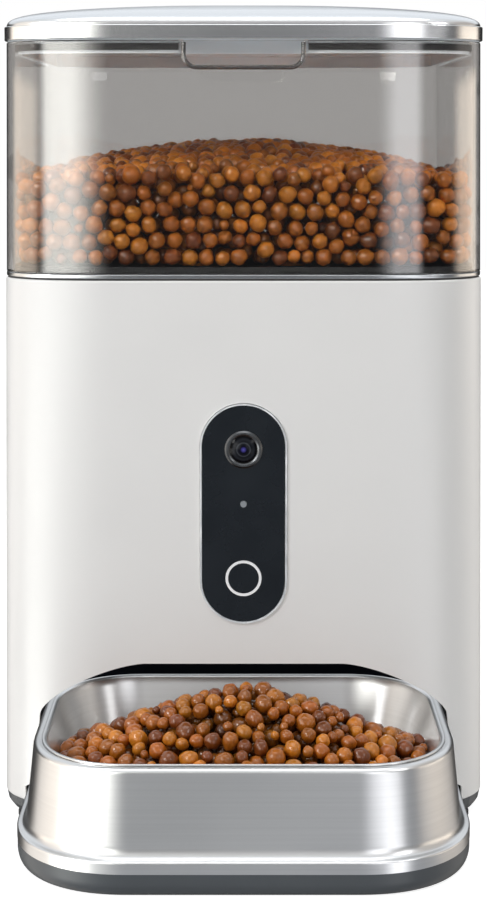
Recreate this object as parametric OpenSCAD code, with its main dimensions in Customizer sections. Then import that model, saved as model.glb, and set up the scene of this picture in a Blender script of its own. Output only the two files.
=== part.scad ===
// Countertop cat feeder: a clear hopper with a steel lid on a drafted white body,
// a gear driven dispensing rotor, and a pressed steel bowl that slides out of an arched alcove.
// Millimetres, +Z up, front at -Y, origin on the table under the middle of the outline.

/* [Body] */
// Width of the body at its top edge
body_w = 190; // [160:1:230]
// Depth of the body at its top edge
body_d = 180; // [172:1:220]
// Height of the white shell above the base
body_h = 209.6; // [195:0.1:240]
// How far each side leans out from the top edge to the foot
body_draft = 2.2; // [1:0.1:4]
// Wall of the white shell
body_wall = 2.6; // [2:0.1:3.2]
// Length of the rounded corner along the front
corner_x = 45; // [30:1:60]
// Length of the rounded corner along the side
corner_y = 27; // [20:1:40]
// Fullness of the rounded corners, 2 is an ellipse
corner_power = 2.3; // [2:0.1:3]
// Height of the dark base up to the seam
base_h = 8; // [7:0.1:12]
// How far the base draws in at the table
base_round = 5.4; // [1.5:0.1:5.6]
// Floor and walls of the base tray
base_wall = 2.5; // [2:0.1:3]
// Height of the foot pads below the base
foot_h = 1; // [0.8:0.1:2]
// Width of a foot pad
foot_w = 3.2; // [2.6:0.1:3.6]
// Length of a foot pad
foot_l = 30; // [18:1:40]

/* [Hopper] */
// Height of the clear tank
tank_h = 92; // [70:1:130]
// Wall of the clear tank
tank_wall = 3; // [2.5:0.1:4]
// How far the tank stands in from the body's skin
tank_inset = 0.3; // [0.1:0.1:1]
// Thickness of the ledge that carries the hopper floor
ledge_t = 2; // [1.5:0.1:3]
// Width of that ledge
ledge_w = 4.5; // [3:0.1:6]
// Height of the seam gasket
gasket_h = 0.6; // [0.4:0.1:1]
// Height of the steel ring round the tank's foot
ring_h = 1.7; // [1.4:0.1:2.5]
// Thickness of that ring
ring_t = 1.2; // [1:0.1:1.4]
// Width of the finger notch
notch_w = 46; // [35:1:60]
// Depth of the finger notch below the rim
notch_h = 10.5; // [8:0.5:15]
// Corner radius of the finger notch
notch_r = 5; // [3:0.5:7]

/* [Lid] */
// Height of the lid's band
lid_band = 5.4; // [4.5:0.1:8]
// Rise of the domed top over the band
lid_dome = 12; // [6:0.5:16]
// How far the lid stands out past the tank
lid_overhang = 0.8; // [0.4:0.1:2]
// Thickness of the pressed steel
lid_skin = 1; // [0.8:0.1:1.2]
// Dark gap between the tank's rim and the steel band
lid_gap = 0.5; // [0.4:0.1:1]
// Thickness of the lid liner's plate
liner_t = 2; // [1.5:0.1:2.8]
// Height of the plug that enters the tank
plug_h = 5; // [4:0.5:8]
// Thickness of the seal round the plug
seal_t = 1.2; // [1:0.1:2]

/* [Bowl] */
// Width of the body's leg on each side of the bowl's foot
leg_w = 9.7; // [9:0.1:12]
// Depth of the bowl at its rim
bowl_d = 123.2; // [114:0.2:128]
// Height of the bowl's rim
bowl_h = 45.3; // [40:0.1:52]
// Length of the bowl's corners across
bowl_corner_x = 38.5; // [30:0.5:50]
// Length of the bowl's corners front to back
bowl_corner_y = 41.5; // [30:0.5:52]
// Fullness of the bowl's corners
bowl_power = 2.2; // [2:0.1:2.6]
// Width of the flat rim
rim_w = 4; // [3:0.1:6]
// How far the skirt leans out from rim to foot
skirt_flare = 2.9; // [1.5:0.1:4]
// How far the foot flange stands out past the rim
flange_out = 6.5; // [5.5:0.1:7.5]
// Top of the foot flange
flange_z = 13; // [12:0.1:15]
// Height of the bowl's dark base
bowl_base_h = 8.4; // [7:0.1:10]
// Thickness of the bowl's pressed steel
bowl_skin = 1; // [0.8:0.1:1.2]
// Height of the bowl's inside floor
bowl_floor_z = 14; // [13:0.5:18]
// How far the bowl stands out in front of the body's foot
bowl_reach = 69; // [64:1:76]
// Room between the bowl and the alcove's sides
bowl_clear = 0.8; // [0.6:0.1:2]
// Gap at the alcove's back, where the pushed in bowl stops
bowl_stop = 0.3; // [0.2:0.1:1]

/* [Alcove] */
// Headroom over the bowl's rim
alcove_room = 21.2; // [17:0.1:28]
// Length of the arch's corners across
arch_x = 42; // [32:1:52]
// Height of the arch's corners
arch_z = 22; // [16:1:23]
// Fullness of the arch's corners
arch_power = 1.5; // [1.4:0.1:2.4]
// Wall of the alcove lining
alcove_wall = 2; // [1.6:0.1:2.4]

/* [Front panel] */
// Width of the pill shaped panel
panel_w = 34; // [30:0.5:40]
// Height of the panel
panel_h = 87; // [82:0.5:96]
// Height of the panel's foot over the alcove
panel_lift = 16.2; // [12:0.1:24]
// Width of the trim round the panel
trim_w = 0.6; // [0.4:0.1:1]
// How far the panel stands proud of the shell
panel_proud = 0.7; // [0.4:0.1:1.2]
// Thickness of the panel
panel_t = 4; // [3.5:0.1:5]
// Diameter of the camera bezel
bezel_d = 14.7; // [12:0.1:18]
// Diameter of the camera lens
lens_d = 10.6; // [8:0.1:11.4]
// Height of the camera over the panel's middle
lens_up = 25.6; // [23:0.1:30]
// Height of the status light over the panel's middle
status_up = 4; // [0:0.1:6]
// Diameter of the status light
status_d = 2.5; // [1.5:0.1:4]
// Diameter of the feed button with its light ring
button_ring_d = 14.1; // [12:0.1:17]
// Width of the light ring
button_ring_w = 1; // [0.7:0.1:1.4]
// Depth of the feed button below the panel's middle
button_down = 25.4; // [23:0.1:30]
// Travel of the feed button
button_travel = 0.8; // [0.4:0.1:1.2]

/* [Dispenser] */
// Radius of the rotor's pocket in the hopper floor
pocket_r = 46.5; // [42:0.5:50]
// Depth of the pocket under the funnel
pocket_h = 26.5; // [20:0.5:30]
// Wall of the hopper floor
floor_wall = 2.5; // [2:0.1:3]
// Room between the funnel's skirt and the tank's ledge
funnel_room = 0.5; // [0.3:0.1:4]
// Fall of the funnel from the floor plate to the pocket
funnel_h = 15.7; // [12:0.1:18]
// Number of rotor blades
blades = 6; // [4:1:8]
// Thickness of a rotor blade
blade_t = 2.4; // [1.5:0.1:4]
// Radius of the rotor's hub
hub_r = 13; // [11:0.5:16]
// Width across the drive dog's flats
dog_w = 8; // [6:0.2:9]
// Outer radius of the outlet in the pocket's floor
outlet_r = 44; // [40:0.5:45]
// Inner radius of the outlet
outlet_in_r = 24; // [20:0.5:26]
// Half angle of the outlet
outlet_half = 28; // [20:1:32]
// Wall of the hopper well and the food chute
duct_wall = 1.8; // [1.4:0.1:2.4]

/* [Drive] */
// Module of the gears
gear_m = 0.8; // [0.7:0.05:0.85]
// Teeth of the large gears
big_teeth = 36; // [32:2:38]
// Teeth of the small gears
small_teeth = 12; // [12:2:14]
// Face width of the gears
gear_t = 5; // [4:0.5:6]
// Wall of the gear case
case_wall = 2; // [1.6:0.1:2.4]
// Diameter of the motor
motor_d = 24.4; // [20:0.1:28]
// Height of the motor's can
motor_h = 30.8; // [24:0.1:38]
// Diameter of the motor's shaft
shaft_d = 2; // [1.5:0.1:3]
// Diameter of the idler's pin
pin_d = 3; // [2.5:0.1:4]

/* [Boards] */
// Thickness of the circuit boards
board_t = 1.6; // [1:0.1:2]
// Width of the main board
main_board_w = 68; // [60:1:80]
// Depth of the main board
main_board_d = 60; // [50:1:66]
// Height of the posts under the main board
board_post_h = 10; // [7:0.5:14]
// Diameter of the loudspeaker
speaker_d = 36; // [28:1:40]
// Height of the loudspeaker
speaker_h = 10; // [8:0.5:14]
// Width of the power inlet
inlet_w = 9; // [8:0.1:12]
// Height of the power inlet
inlet_h = 3.3; // [2.8:0.1:5]

/* [Hidden] */
$fn = 48;

// Facets along each rounded corner of a plan
corner_steps = 9;
// Clearance between pieces that seat in each other
fit = 0.2;
// Clearance between bodies that move past each other
run = 0.4;
// Radial clearance of a shaft in its bearing
bearing = 0.05;
// Depth by which a cut runs past a face
past = 5;
// Gap between the hopper's pocket and the well around it
well_gap = 1;

// Levels, from the table up
shell_z0 = base_h;
shell_z1 = base_h + body_h;
tank_z0 = shell_z1 + gasket_h;
tank_z1 = tank_z0 + tank_h;
lid_z0 = tank_z1 + lid_gap;
lid_z1 = lid_z0 + lid_band;
floor_z0 = tank_z0 + ledge_t;
floor_z1 = floor_z0 + floor_wall;
pocket_z1 = floor_z1 - funnel_h;
pocket_z0 = pocket_z1 - pocket_h;
pocket_under = pocket_z0 - floor_wall;
well_z1 = pocket_under - well_gap;
well_z0 = well_z1 - floor_wall;
base_floor = foot_h + base_wall;

// The bowl fills the room between the body's legs
bowl_w = body_w + 2 * (body_draft - leg_w - bowl_clear - flange_out);

// Places in plan
body_y = bowl_reach / 2;
half_depth = body_d / 2 + body_draft + body_y;
bowl_y = flange_out + bowl_d / 2 - half_depth;
body_front = body_y - body_d / 2;
body_back = body_y + body_d / 2;

// How far the drafted skin stands out from the top plan at a height
function skin(z) = body_draft * (shell_z1 - z) / body_h;

// How far the clear tank's faces stand out from the same plan
function tank_out(z) = skin(z) - tank_inset;
function tank_in(z) = tank_out(z) - tank_wall;

// How far the funnel's mouth stands out from the same plan, just inside the ledge
mouth_out = tank_in(floor_z0) - ledge_w - floor_wall - funnel_room;

// Rounded rectangle with superelliptic corners, counter-clockwise from the right
function soft_plan(w, d, rx, ry, power) = [
    for (quarter = [0:3]) for (i = [0:corner_steps])
        let (
            t = (quarter % 2 == 0 ? i : corner_steps - i) * 90 / corner_steps,
            side = (quarter == 0 || quarter == 3) ? 1 : -1,
            end = quarter < 2 ? 1 : -1
        )
        [side * (w / 2 - rx + rx * pow(cos(t), 2 / power)),
         end * (d / 2 - ry + ry * pow(sin(t), 2 / power))]
];
function body_plan(out) =
    soft_plan(body_w + 2 * out, body_d + 2 * out, corner_x + out, corner_y + out, corner_power);
function bowl_plan(out) =
    soft_plan(bowl_w + 2 * out, bowl_d + 2 * out, bowl_corner_x + out, bowl_corner_y + out, bowl_power);

// A circle with as many points as those plans
function round_plan(r) =
    let (count = 4 * (corner_steps + 1))
    [for (i = [0:count - 1]) let (a = (i + 0.5) * 360 / count) [r * cos(a), r * sin(a)]];

// A plan lifted to a height
function ring(plan, y, z) = [for (p = plan) [p.x, p.y + y, z]];
function body_ring(out, z) = ring(body_plan(out), body_y, z);
function bowl_ring(out, z) = ring(bowl_plan(out), bowl_y, z);
function throat_ring(r, z) = ring(round_plan(r), body_y, z);

// Skin over a list of rings: capped at both ends, or closed on itself as a hoop
module loft(rings, hoop = false) {
    n = len(rings[0]);
    count = len(rings);
    bands = hoop ? count : count - 1;
    sides = [
        for (j = [0:bands - 1]) for (i = [0:n - 1])
            let (a = j * n, b = ((j + 1) % count) * n, k = (i + 1) % n)
            each [[a + i, b + i, b + k], [a + i, b + k, a + k]]
    ];
    caps = hoop ? [] : [[for (i = [0:n - 1]) i], [for (i = [n - 1:-1:0]) (count - 1) * n + i]];
    polyhedron([for (r = rings) each r], concat(sides, caps), convexity = 8);
}

// An upright plate from y0 to y1 whose outline is drawn in X and Z
module upright(y0, y1) {
    translate([0, y1, 0]) rotate([90, 0, 0]) linear_extrude(y1 - y0) children();
}

// A round bar along Y from y0 to y1
module bar_y(r, y0, y1) {
    translate([0, y1, 0]) rotate([90, 0, 0]) cylinder(r = r, h = y1 - y0);
}

// Flat slot outline with round ends, long in the second axis
module pill(w, h) {
    square([w, h - w], center = true);
    for (end = [-1, 1]) translate([0, end * (h - w) / 2]) circle(d = w);
}

// Alcove: the arch that follows the bowl's outline
// Radius of the bowl's neck over its flange
neck_r = 2.4;
alcove_h = bowl_h + alcove_room;
shoulder_half = bowl_w / 2 + bowl_clear;
foot_half = shoulder_half + flange_out;
waist_half = shoulder_half + skirt_flare;
waist_z = flange_z + neck_r + bowl_clear;
shoulder_z = alcove_h - arch_z;
alcove_back = bowl_y + bowl_d / 2 + flange_out + bowl_stop;

function arch_side(out, side, steps) = [
    for (t = steps)
        [side * (shoulder_half - arch_x + (arch_x + out) * pow(cos(t), 2 / arch_power)),
         shoulder_z + (arch_z + out) * pow(sin(t), 2 / arch_power)]
];
module arch(out, bottom) {
    rise = [for (i = [0:corner_steps]) i * 90 / corner_steps];
    fall = [for (i = [corner_steps:-1:0]) i * 90 / corner_steps];
    polygon(concat(
        [[foot_half + out, bottom], [foot_half + out, flange_z + bowl_clear], [waist_half + out, waist_z]],
        arch_side(out, 1, rise),
        arch_side(out, -1, fall),
        [[-waist_half - out, waist_z], [-foot_half - out, flange_z + bowl_clear], [-foot_half - out, bottom]]
    ));
}

// Front panel's own frame: on the drafted front face, X across, Z up the face, Y inwards
lean = atan(body_draft / body_h);
panel_z = alcove_h + panel_lift + panel_h / 2;
module on_panel(up = 0) {
    translate([0, body_front - skin(panel_z), panel_z]) rotate([-lean, 0, 0])
        translate([0, 0, up]) children();
}

// Fasteners of shell and base
boss_r = 4.5;
boss_h = 22;
screw_r = 1.25;
head_r = 2.8;
head_h = 1.6;
// Solid end of a boss over its screw hole
boss_cap = 2;
// How far a boss is sunk into the wall beside it
boss_bury = 0.6;
// Bosses behind the alcove and in front of the rear corners
boss_front_gap = 18;
boss_rear_gap = 8;
// Length of a base screw inside the shell's boss
base_screw_grip = 13;
boss_x = body_w / 2 + skin(shell_z0 + boss_h) - body_wall - boss_r + boss_bury;
boss_ends = [alcove_back + boss_front_gap, body_back - corner_y - boss_rear_gap];
module at_bosses() {
    for (side = [-1, 1]) for (y = boss_ends) translate([side * boss_x, y, 0]) children();
}

// Ledge inside the shell that carries the hopper well
deck_drop = 7;
deck_z = pocket_z1 - deck_drop;
deck_t = 2.5;
deck_ledge = 3;

// Power inlet in the rear wall
board_z = base_floor + board_post_h;
inlet_z = board_z + board_t + inlet_h / 2;
inlet_room = 0.6;
rear_wall_in = body_back + skin(inlet_z) - body_wall;

module body_shell() {
    inner = function (z) skin(z) - body_wall;
    edge = 0.5;
    color("white") difference() {
        union() {
            loft([
                body_ring(skin(shell_z0), shell_z0),
                body_ring(skin(shell_z1 - edge), shell_z1 - edge),
                body_ring(-edge, shell_z1),
                body_ring(inner(shell_z1), shell_z1),
                body_ring(inner(deck_z), deck_z),
                body_ring(inner(deck_z) - deck_ledge, deck_z),
                body_ring(inner(deck_z) - deck_ledge, deck_z - edge),
                body_ring(inner(deck_z - deck_ledge), deck_z - deck_ledge),
                body_ring(inner(shell_z0), shell_z0)
            ], hoop = true);
            at_bosses() translate([0, 0, shell_z0]) cylinder(r = boss_r, h = boss_h);
        }
        at_bosses() translate([0, 0, shell_z0 - past])
            cylinder(r = screw_r + bearing, h = boss_h + past - boss_cap);
        upright(body_front - body_draft - past, body_front + corner_y) arch(0, -past);
        on_panel() upright(-past, body_wall + past) pill(panel_w + 2 * fit, panel_h + 2 * fit);
        translate([0, 0, inlet_z]) upright(rear_wall_in - past, body_back + body_draft + past)
            rotate(90) pill(inlet_h + 2 * inlet_room, inlet_w + 2 * inlet_room);
    }
}

// Base tray, open at the front around the bowl
seam = 0.2;
base_out = skin(shell_z0) - seam;
// The rim is thicker than the floor, because the tray draws in below it
rim_extra = 0.6;
base_in = base_out - base_wall - rim_extra;
leg_x = (foot_half + body_w / 2 + base_out - base_round) / 2;
foot_recess = 0.8;
module at_feet(room = 0) {
    for (side = [-1, 1]) {
        translate([side * leg_x, body_front + corner_y]) pill(foot_w + room, foot_l + room);
        translate([side * (body_w / 2 - corner_x), body_back - corner_y / 2]) rotate(90)
            pill(foot_w + room, foot_l + room);
    }
}
// Loudspeaker beside the main board, over a grille in the floor
speaker_side = 14;
speaker_back = 26;
speaker_x = -body_w / 2 + speaker_d / 2 + speaker_side;
speaker_y = body_y + speaker_back;
grille_pitch = 5;
grille_hole = 2.4;
grille_rows = 2;
// Main board on posts, close to the rear wall
board_gap = 3;
board_y1 = rear_wall_in - board_gap;
board_hole = 4;
board_post_r = 3;
board_screw_grip = 6;
board_post_foot = 1;
module at_board_posts() {
    for (side = [-1, 1]) for (y = [board_y1 - main_board_d + board_hole, board_y1 - 2 * board_hole])
        translate([side * (main_board_w / 2 - board_hole), y, 0]) children();
}
module base_plate() {
    color("dimgray") difference() {
        union() {
            difference() {
                loft([
                    for (a = [0:30:90])
                        body_ring(base_out - base_round * (1 - sin(a)),
                                  foot_h + (base_h - foot_h) * (1 - cos(a)))
                ]);
                translate([0, body_y, base_floor]) linear_extrude(base_h)
                    polygon(body_plan(base_in));
            }
            intersection() {
                upright(body_front - body_draft, alcove_back + base_wall) arch(base_wall, 0);
                translate([0, body_y, base_floor - seam]) linear_extrude(base_h - base_floor + seam)
                    polygon(body_plan(base_in + seam));
            }
            at_bosses() translate([0, 0, base_floor - seam])
                cylinder(r = boss_r, h = base_h - base_floor + seam);
            at_board_posts() translate([0, 0, base_floor - seam])
                cylinder(r = board_post_r, h = board_post_h + seam);
        }
        upright(body_front - body_draft - past, alcove_back) arch(0, -past);
        translate([0, 0, foot_h - past]) linear_extrude(past + foot_recess) at_feet(2 * fit);
        at_bosses() {
            cylinder(r = screw_r + fit, h = base_h + past);
            cylinder(r = head_r + fit, h = foot_h + head_h + fit);
        }
        at_board_posts() translate([0, 0, base_floor + board_post_foot])
            cylinder(r = screw_r + bearing, h = board_z);
        for (i = [-grille_rows:grille_rows]) for (j = [-grille_rows:grille_rows])
            if (abs(i) + abs(j) < 2 * grille_rows)
                translate([speaker_x + i * grille_pitch, speaker_y + j * grille_pitch, 0])
                    cylinder(d = grille_hole, h = base_floor + past);
    }
}

module foot_pads() {
    color("black") linear_extrude(foot_h + foot_recess) at_feet();
}

// A pan head screw pointing up, with its head's top at the origin
module screw(length) {
    cylinder(r = head_r, h = head_h);
    cylinder(r = screw_r, h = length);
}

module base_screws() {
    color("silver") at_bosses() translate([0, 0, foot_h + fit]) screw(base_h + base_screw_grip);
}

// Food chute from the rotor's outlet to the alcove's ceiling
chute_room = 1;
chute_taper = 4;
chute_back_gap = 6;
chute_w = 2 * (outlet_r * sin(outlet_half) + chute_room);
chute_top_y0 = body_y - outlet_r - chute_room;
chute_top_y1 = body_y - outlet_in_r * cos(outlet_half) + chute_room;
chute_foot_w = chute_w - chute_taper;
chute_foot_d = chute_top_y1 - chute_top_y0;
chute_foot_y1 = alcove_back - chute_back_gap;
chute_foot_y0 = chute_foot_y1 - chute_foot_d;
alcove_roof = alcove_h + alcove_wall;

module bowl_alcove() {
    skin_room = skin(alcove_roof) - body_wall - fit;
    color([0.12, 0.12, 0.13]) difference() {
        intersection() {
            upright(body_front - body_draft, alcove_back + alcove_wall) arch(alcove_wall, base_h);
            translate([0, body_y, base_h]) linear_extrude(alcove_roof)
                polygon(body_plan(skin_room));
        }
        upright(body_front - body_draft - past, alcove_back) arch(0, -past);
        translate([-chute_foot_w / 2, chute_foot_y0, alcove_h - past])
            cube([chute_foot_w, chute_foot_d, 2 * past]);
    }
}

// Ring of four corners for the chute
function box_ring(w, y0, y1, z) = [[w / 2, y1, z], [-w / 2, y1, z], [-w / 2, y0, z], [w / 2, y0, z]];
module food_chute() {
    t = duct_wall;
    color("gainsboro") loft([
        box_ring(chute_foot_w + 2 * t, chute_foot_y0 - t, chute_foot_y1 + t, alcove_roof),
        box_ring(chute_w + 2 * t, chute_top_y0 - t, chute_top_y1 + t, well_z0),
        box_ring(chute_w, chute_top_y0, chute_top_y1, well_z0),
        box_ring(chute_foot_w, chute_foot_y0, chute_foot_y1, alcove_roof)
    ], hoop = true);
}

// Outlet: a sector of a ring at the front of the pocket, a little wider in the well below it
outlet_room = 0.8;
module outlet(room = 0) {
    reach = outlet_r * 2;
    intersection() {
        difference() {
            circle(r = outlet_r + room);
            circle(r = outlet_in_r - room);
        }
        polygon([[0, 0], [-reach * tan(outlet_half), -reach], [reach * tan(outlet_half), -reach]]);
    }
}

// Gear train in one line from the rotor's axis to the back
big_r = gear_m * big_teeth / 2;
small_r = gear_m * small_teeth / 2;
centres = big_r + small_r;
idler_y = body_y + centres;
motor_y = idler_y + centres;
big_tip = 0.75 * gear_m;
small_tip = gear_m;
tooth_root = 1.25 * gear_m;
// Room over the upper gears, and between the gears and the floor
case_head = 3.5;
gear_gap = 1;
upper_z = well_z0 - case_head - gear_t;
lower_z = upper_z - gear_gap - gear_t;
case_floor = lower_z - gear_gap;
case_z0 = case_floor - case_wall;
// Room round the large gears and the pinion
case_room = 0.6;
pinion_room = 3;
// Motor: flats, centring boss, rear bearing cap and the room behind its shaft
motor_flat = 19.5;
motor_boss_r = 3;
motor_boss_h = 1.5;
motor_cap_d = 9.8;
motor_cap_h = 2;
shaft_gap = 1;
// Output gear's lower journal, its shaft through the well and the height of its dog
journal_r = 3;
drive_r = 6;
dog_reach = 8;
// Shoulder under the idler gear
shoulder_w = 1.5;

module case_plan(out) {
    gear_side = big_r + big_tip + case_room + out;
    pinion_side = small_r + pinion_room + out;
    for (y = [body_y, idler_y]) translate([0, y]) circle(r = gear_side);
    translate([-gear_side, body_y]) square([2 * gear_side, centres]);
    translate([-pinion_side, idler_y]) square([2 * pinion_side, centres]);
    translate([0, motor_y]) circle(r = pinion_side);
}
// Screw ears on the case's wall
ear_r = 3.2;
ear_out = 2.6;
ear_floor = 2;
case_screw_l = 10;
ear_x = big_r + big_tip + case_wall + ear_out;
module at_ears() {
    for (side = [-1, 1]) translate([side * ear_x, (body_y + idler_y) / 2, 0]) children();
    translate([0, motor_y + small_r + pinion_room + case_wall + ear_out, 0]) children();
}

module hopper_well() {
    well_r = pocket_r + floor_wall + well_gap;
    plate_out = skin(deck_z + deck_t) - body_wall - fit;
    color("whitesmoke") difference() {
        union() {
            translate([0, body_y, deck_z]) linear_extrude(deck_t) polygon(body_plan(plate_out));
            translate([0, body_y, well_z0]) cylinder(r = well_r + duct_wall, h = deck_z - well_z0 + deck_t);
        }
        translate([0, body_y, well_z1]) cylinder(r = well_r, h = deck_z);
        translate([0, body_y, well_z0 - past]) {
            cylinder(r = drive_r + bearing, h = deck_z);
            linear_extrude(2 * past + floor_wall) outlet(outlet_room);
        }
        at_ears() {
            translate([0, 0, well_z0 - past]) cylinder(r = screw_r + fit, h = deck_z);
            translate([0, 0, well_z1 - head_h - fit]) cylinder(r = head_r + fit, h = past);
        }
    }
}

// Gasket on the shell's top edge, drawn in from its outside
gasket_in = 0.7;
module hopper_gasket() {
    color([0.2, 0.2, 0.2]) translate([0, body_y, shell_z1]) linear_extrude(gasket_h) difference() {
        polygon(body_plan(-gasket_in));
        polygon(body_plan(-body_wall));
    }
}

module gear_case() {
    color("gray") difference() {
        union() {
            translate([0, 0, case_z0]) linear_extrude(well_z0 - case_z0) case_plan(case_wall);
            at_ears() translate([0, 0, case_z0]) cylinder(r = ear_r, h = well_z0 - case_z0);
        }
        translate([0, 0, case_floor]) linear_extrude(well_z0) case_plan(0);
        translate([0, body_y, case_z0 - past]) cylinder(r = journal_r + bearing, h = 2 * past);
        translate([0, idler_y, case_z0 - past]) cylinder(d = pin_d, h = 2 * past);
        translate([0, motor_y, case_z0 - past]) cylinder(r = motor_boss_r + fit, h = 2 * past);
        at_ears() translate([0, 0, case_z0 + ear_floor]) cylinder(r = screw_r + bearing, h = well_z0);
    }
}

module case_screws() {
    color("silver") at_ears() translate([0, 0, well_z1 - fit]) mirror([0, 0, 1]) screw(case_screw_l);
}

module idler_pin() {
    color("silver") translate([0, idler_y, case_z0]) cylinder(d = pin_d, h = well_z0 - case_z0 - gear_gap);
}

module drive_motor() {
    color("lightgray") difference() {
        union() {
            translate([0, motor_y, case_z0 - motor_h]) intersection() {
                cylinder(d = motor_d, h = motor_h);
                translate([-motor_d / 2, -motor_flat / 2, 0]) cube([motor_d, motor_flat, motor_h]);
            }
            translate([0, motor_y, case_z0]) cylinder(r = motor_boss_r, h = motor_boss_h);
            translate([0, motor_y, case_z0 - motor_h - motor_cap_h])
                cylinder(d = motor_cap_d, h = motor_cap_h);
        }
        translate([0, motor_y, case_z0 - motor_h / 2])
            cylinder(d = shaft_d + 2 * bearing, h = motor_h);
    }
}

// Involute gear outline
pressure = 20;
backlash = 0.06;
function involute(r, base) = tan(acos(min(1, base / r))) * 180 / PI - acos(min(1, base / r));
function gear_points(teeth, tip) =
    let (
        pitch = gear_m * teeth / 2,
        base = pitch * cos(pressure),
        root = pitch - tooth_root,
        top = pitch + tip,
        half = 90 / teeth - backlash / pitch * 180 / PI + involute(pitch, base),
        low = max(root, base),
        climb = [root, low, low + (top - low) * 0.35, low + (top - low) * 0.7, top]
    )
    [for (i = [0:teeth - 1])
        let (middle = i * 360 / teeth)
        each concat(
            [for (r = climb) let (a = middle - half + involute(r, base)) [r * cos(a), r * sin(a)]],
            [for (j = [len(climb) - 1:-1:0])
                let (r = climb[j], a = middle + half - involute(r, base)) [r * cos(a), r * sin(a)]]
        )];
// A tooth of the large gear points along Y, and so does a gap of the small gear
big_turn = 90;
small_turn = 180 / small_teeth - 90;
module big_gear() {
    linear_extrude(gear_t) rotate(big_turn) polygon(gear_points(big_teeth, big_tip));
}
module small_gear(height) {
    linear_extrude(height) rotate(small_turn) polygon(gear_points(small_teeth, small_tip));
}

module motor_shaft() {
    color("silver") translate([0, motor_y, case_z0 - motor_h / 2 + shaft_gap])
        cylinder(d = shaft_d, h = motor_h / 2 + lower_z + gear_t - case_z0);
}

module motor_pinion() {
    color("goldenrod") translate([0, motor_y, lower_z]) difference() {
        small_gear(gear_t);
        translate([0, 0, -past]) cylinder(d = shaft_d, h = gear_t + 2 * past);
    }
}

module idler_gear() {
    color("ivory") translate([0, idler_y, lower_z]) difference() {
        union() {
            big_gear();
            small_gear(2 * gear_t + gear_gap);
            translate([0, 0, bearing - gear_gap]) cylinder(d = pin_d + 2 * shoulder_w, h = gear_gap);
        }
        translate([0, 0, -past]) cylinder(d = pin_d + 2 * bearing, h = 3 * gear_t + 2 * past);
    }
}

dog_z1 = pocket_z0 + dog_reach;
module output_gear() {
    color("ivory") translate([0, body_y, 0]) {
        translate([0, 0, upper_z]) big_gear();
        translate([0, 0, case_z0]) cylinder(r = journal_r, h = upper_z - case_z0);
        translate([0, 0, upper_z + gear_t]) cylinder(r = drive_r, h = well_z1 - upper_z - gear_t);
        translate([-dog_w / 2, -dog_w / 2, well_z1]) cube([dog_w, dog_w, dog_z1 - well_z1]);
    }
}

// Rotor in the hopper's pocket, turned by the drive dog
spigot_r = 9;
rotor_lift = 0.3;
rotor_drop = 1;
blade_inset = 1;
blade_gap = 0.8;
hub_z0 = pocket_z0 + rotor_lift;
hub_z1 = pocket_z1 - rotor_drop;
module rotor_hub() {
    socket = dog_w + run;
    color("orange") translate([0, body_y, 0]) difference() {
        union() {
            translate([0, 0, hub_z0]) cylinder(r = hub_r, h = hub_z1 - hub_z0);
            translate([0, 0, pocket_under]) cylinder(r = spigot_r - bearing, h = hub_z1 - pocket_under);
        }
        translate([-socket / 2, -socket / 2, pocket_under - past])
            cube([socket, socket, dog_z1 - pocket_under + past + run]);
    }
}

module rotor_blades() {
    sleeve = 2.2;
    blade_r = pocket_r - blade_gap;
    blade_h = hub_z1 - hub_z0 - 2 * blade_inset;
    color("seashell") translate([0, body_y, hub_z0 + blade_inset]) linear_extrude(blade_h)
        difference() {
            union() {
                circle(r = hub_r + sleeve);
                for (i = [0:blades - 1]) rotate((i + 0.5) * 360 / blades)
                    translate([0, -blade_t / 2]) square([blade_r, blade_t]);
            }
            circle(r = hub_r + bearing);
        }
}

module stirrer() {
    cap_h = 5;
    cap_side = 2;
    cap_taper = 3;
    arm_r = 2.6;
    arm_l = 47;
    arm_root = 6;
    arm_rise = 6;
    slope = atan(funnel_h / (body_d / 2 + mouth_out - pocket_r)) + arm_rise;
    color("orange") translate([0, body_y, hub_z1]) {
        rotate_extrude() polygon([
            [0, 0], [hub_r, 0], [hub_r, cap_side], [hub_r - cap_taper, cap_h], [0, cap_h]
        ]);
        for (side = [0, 180]) rotate(side) translate([hub_r - arm_root, 0, arm_r])
            rotate([0, 90 - slope, 0]) cylinder(r = arm_r, h = arm_l);
    }
}

// Clear tank with an inner ledge, a finger notch and a rebate for the steel ring round its foot
ring_z1 = tank_z0 + ring_h;
ring_in = tank_out(tank_z0) - ring_t;
module notch_plan(w, depth, r) {
    translate([-w / 2, -depth + r]) square([w, depth - r + past]);
    translate([-w / 2 + r, -depth]) square([w - 2 * r, depth]);
    for (side = [-1, 1]) translate([side * (w / 2 - r), -depth + r]) circle(r = r);
}
module hopper_tank() {
    edge = 0.8;
    color([0.75, 0.78, 0.8, 0.4]) difference() {
        loft([
            body_ring(ring_in - fit, tank_z0),
            body_ring(ring_in - fit, ring_z1),
            body_ring(tank_out(ring_z1), ring_z1),
            body_ring(tank_out(tank_z1 - edge), tank_z1 - edge),
            body_ring(tank_out(tank_z1) - edge, tank_z1),
            body_ring(tank_in(tank_z1) + edge, tank_z1),
            body_ring(tank_in(tank_z1 - edge), tank_z1 - edge),
            body_ring(tank_in(floor_z0), floor_z0),
            body_ring(tank_in(floor_z0) - ledge_w, floor_z0),
            body_ring(tank_in(floor_z0) - ledge_w, tank_z0)
        ], hoop = true);
        translate([0, 0, tank_z1]) upright(body_front - past, body_front + tank_wall + past)
            notch_plan(notch_w, notch_h, notch_r);
    }
}

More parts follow.
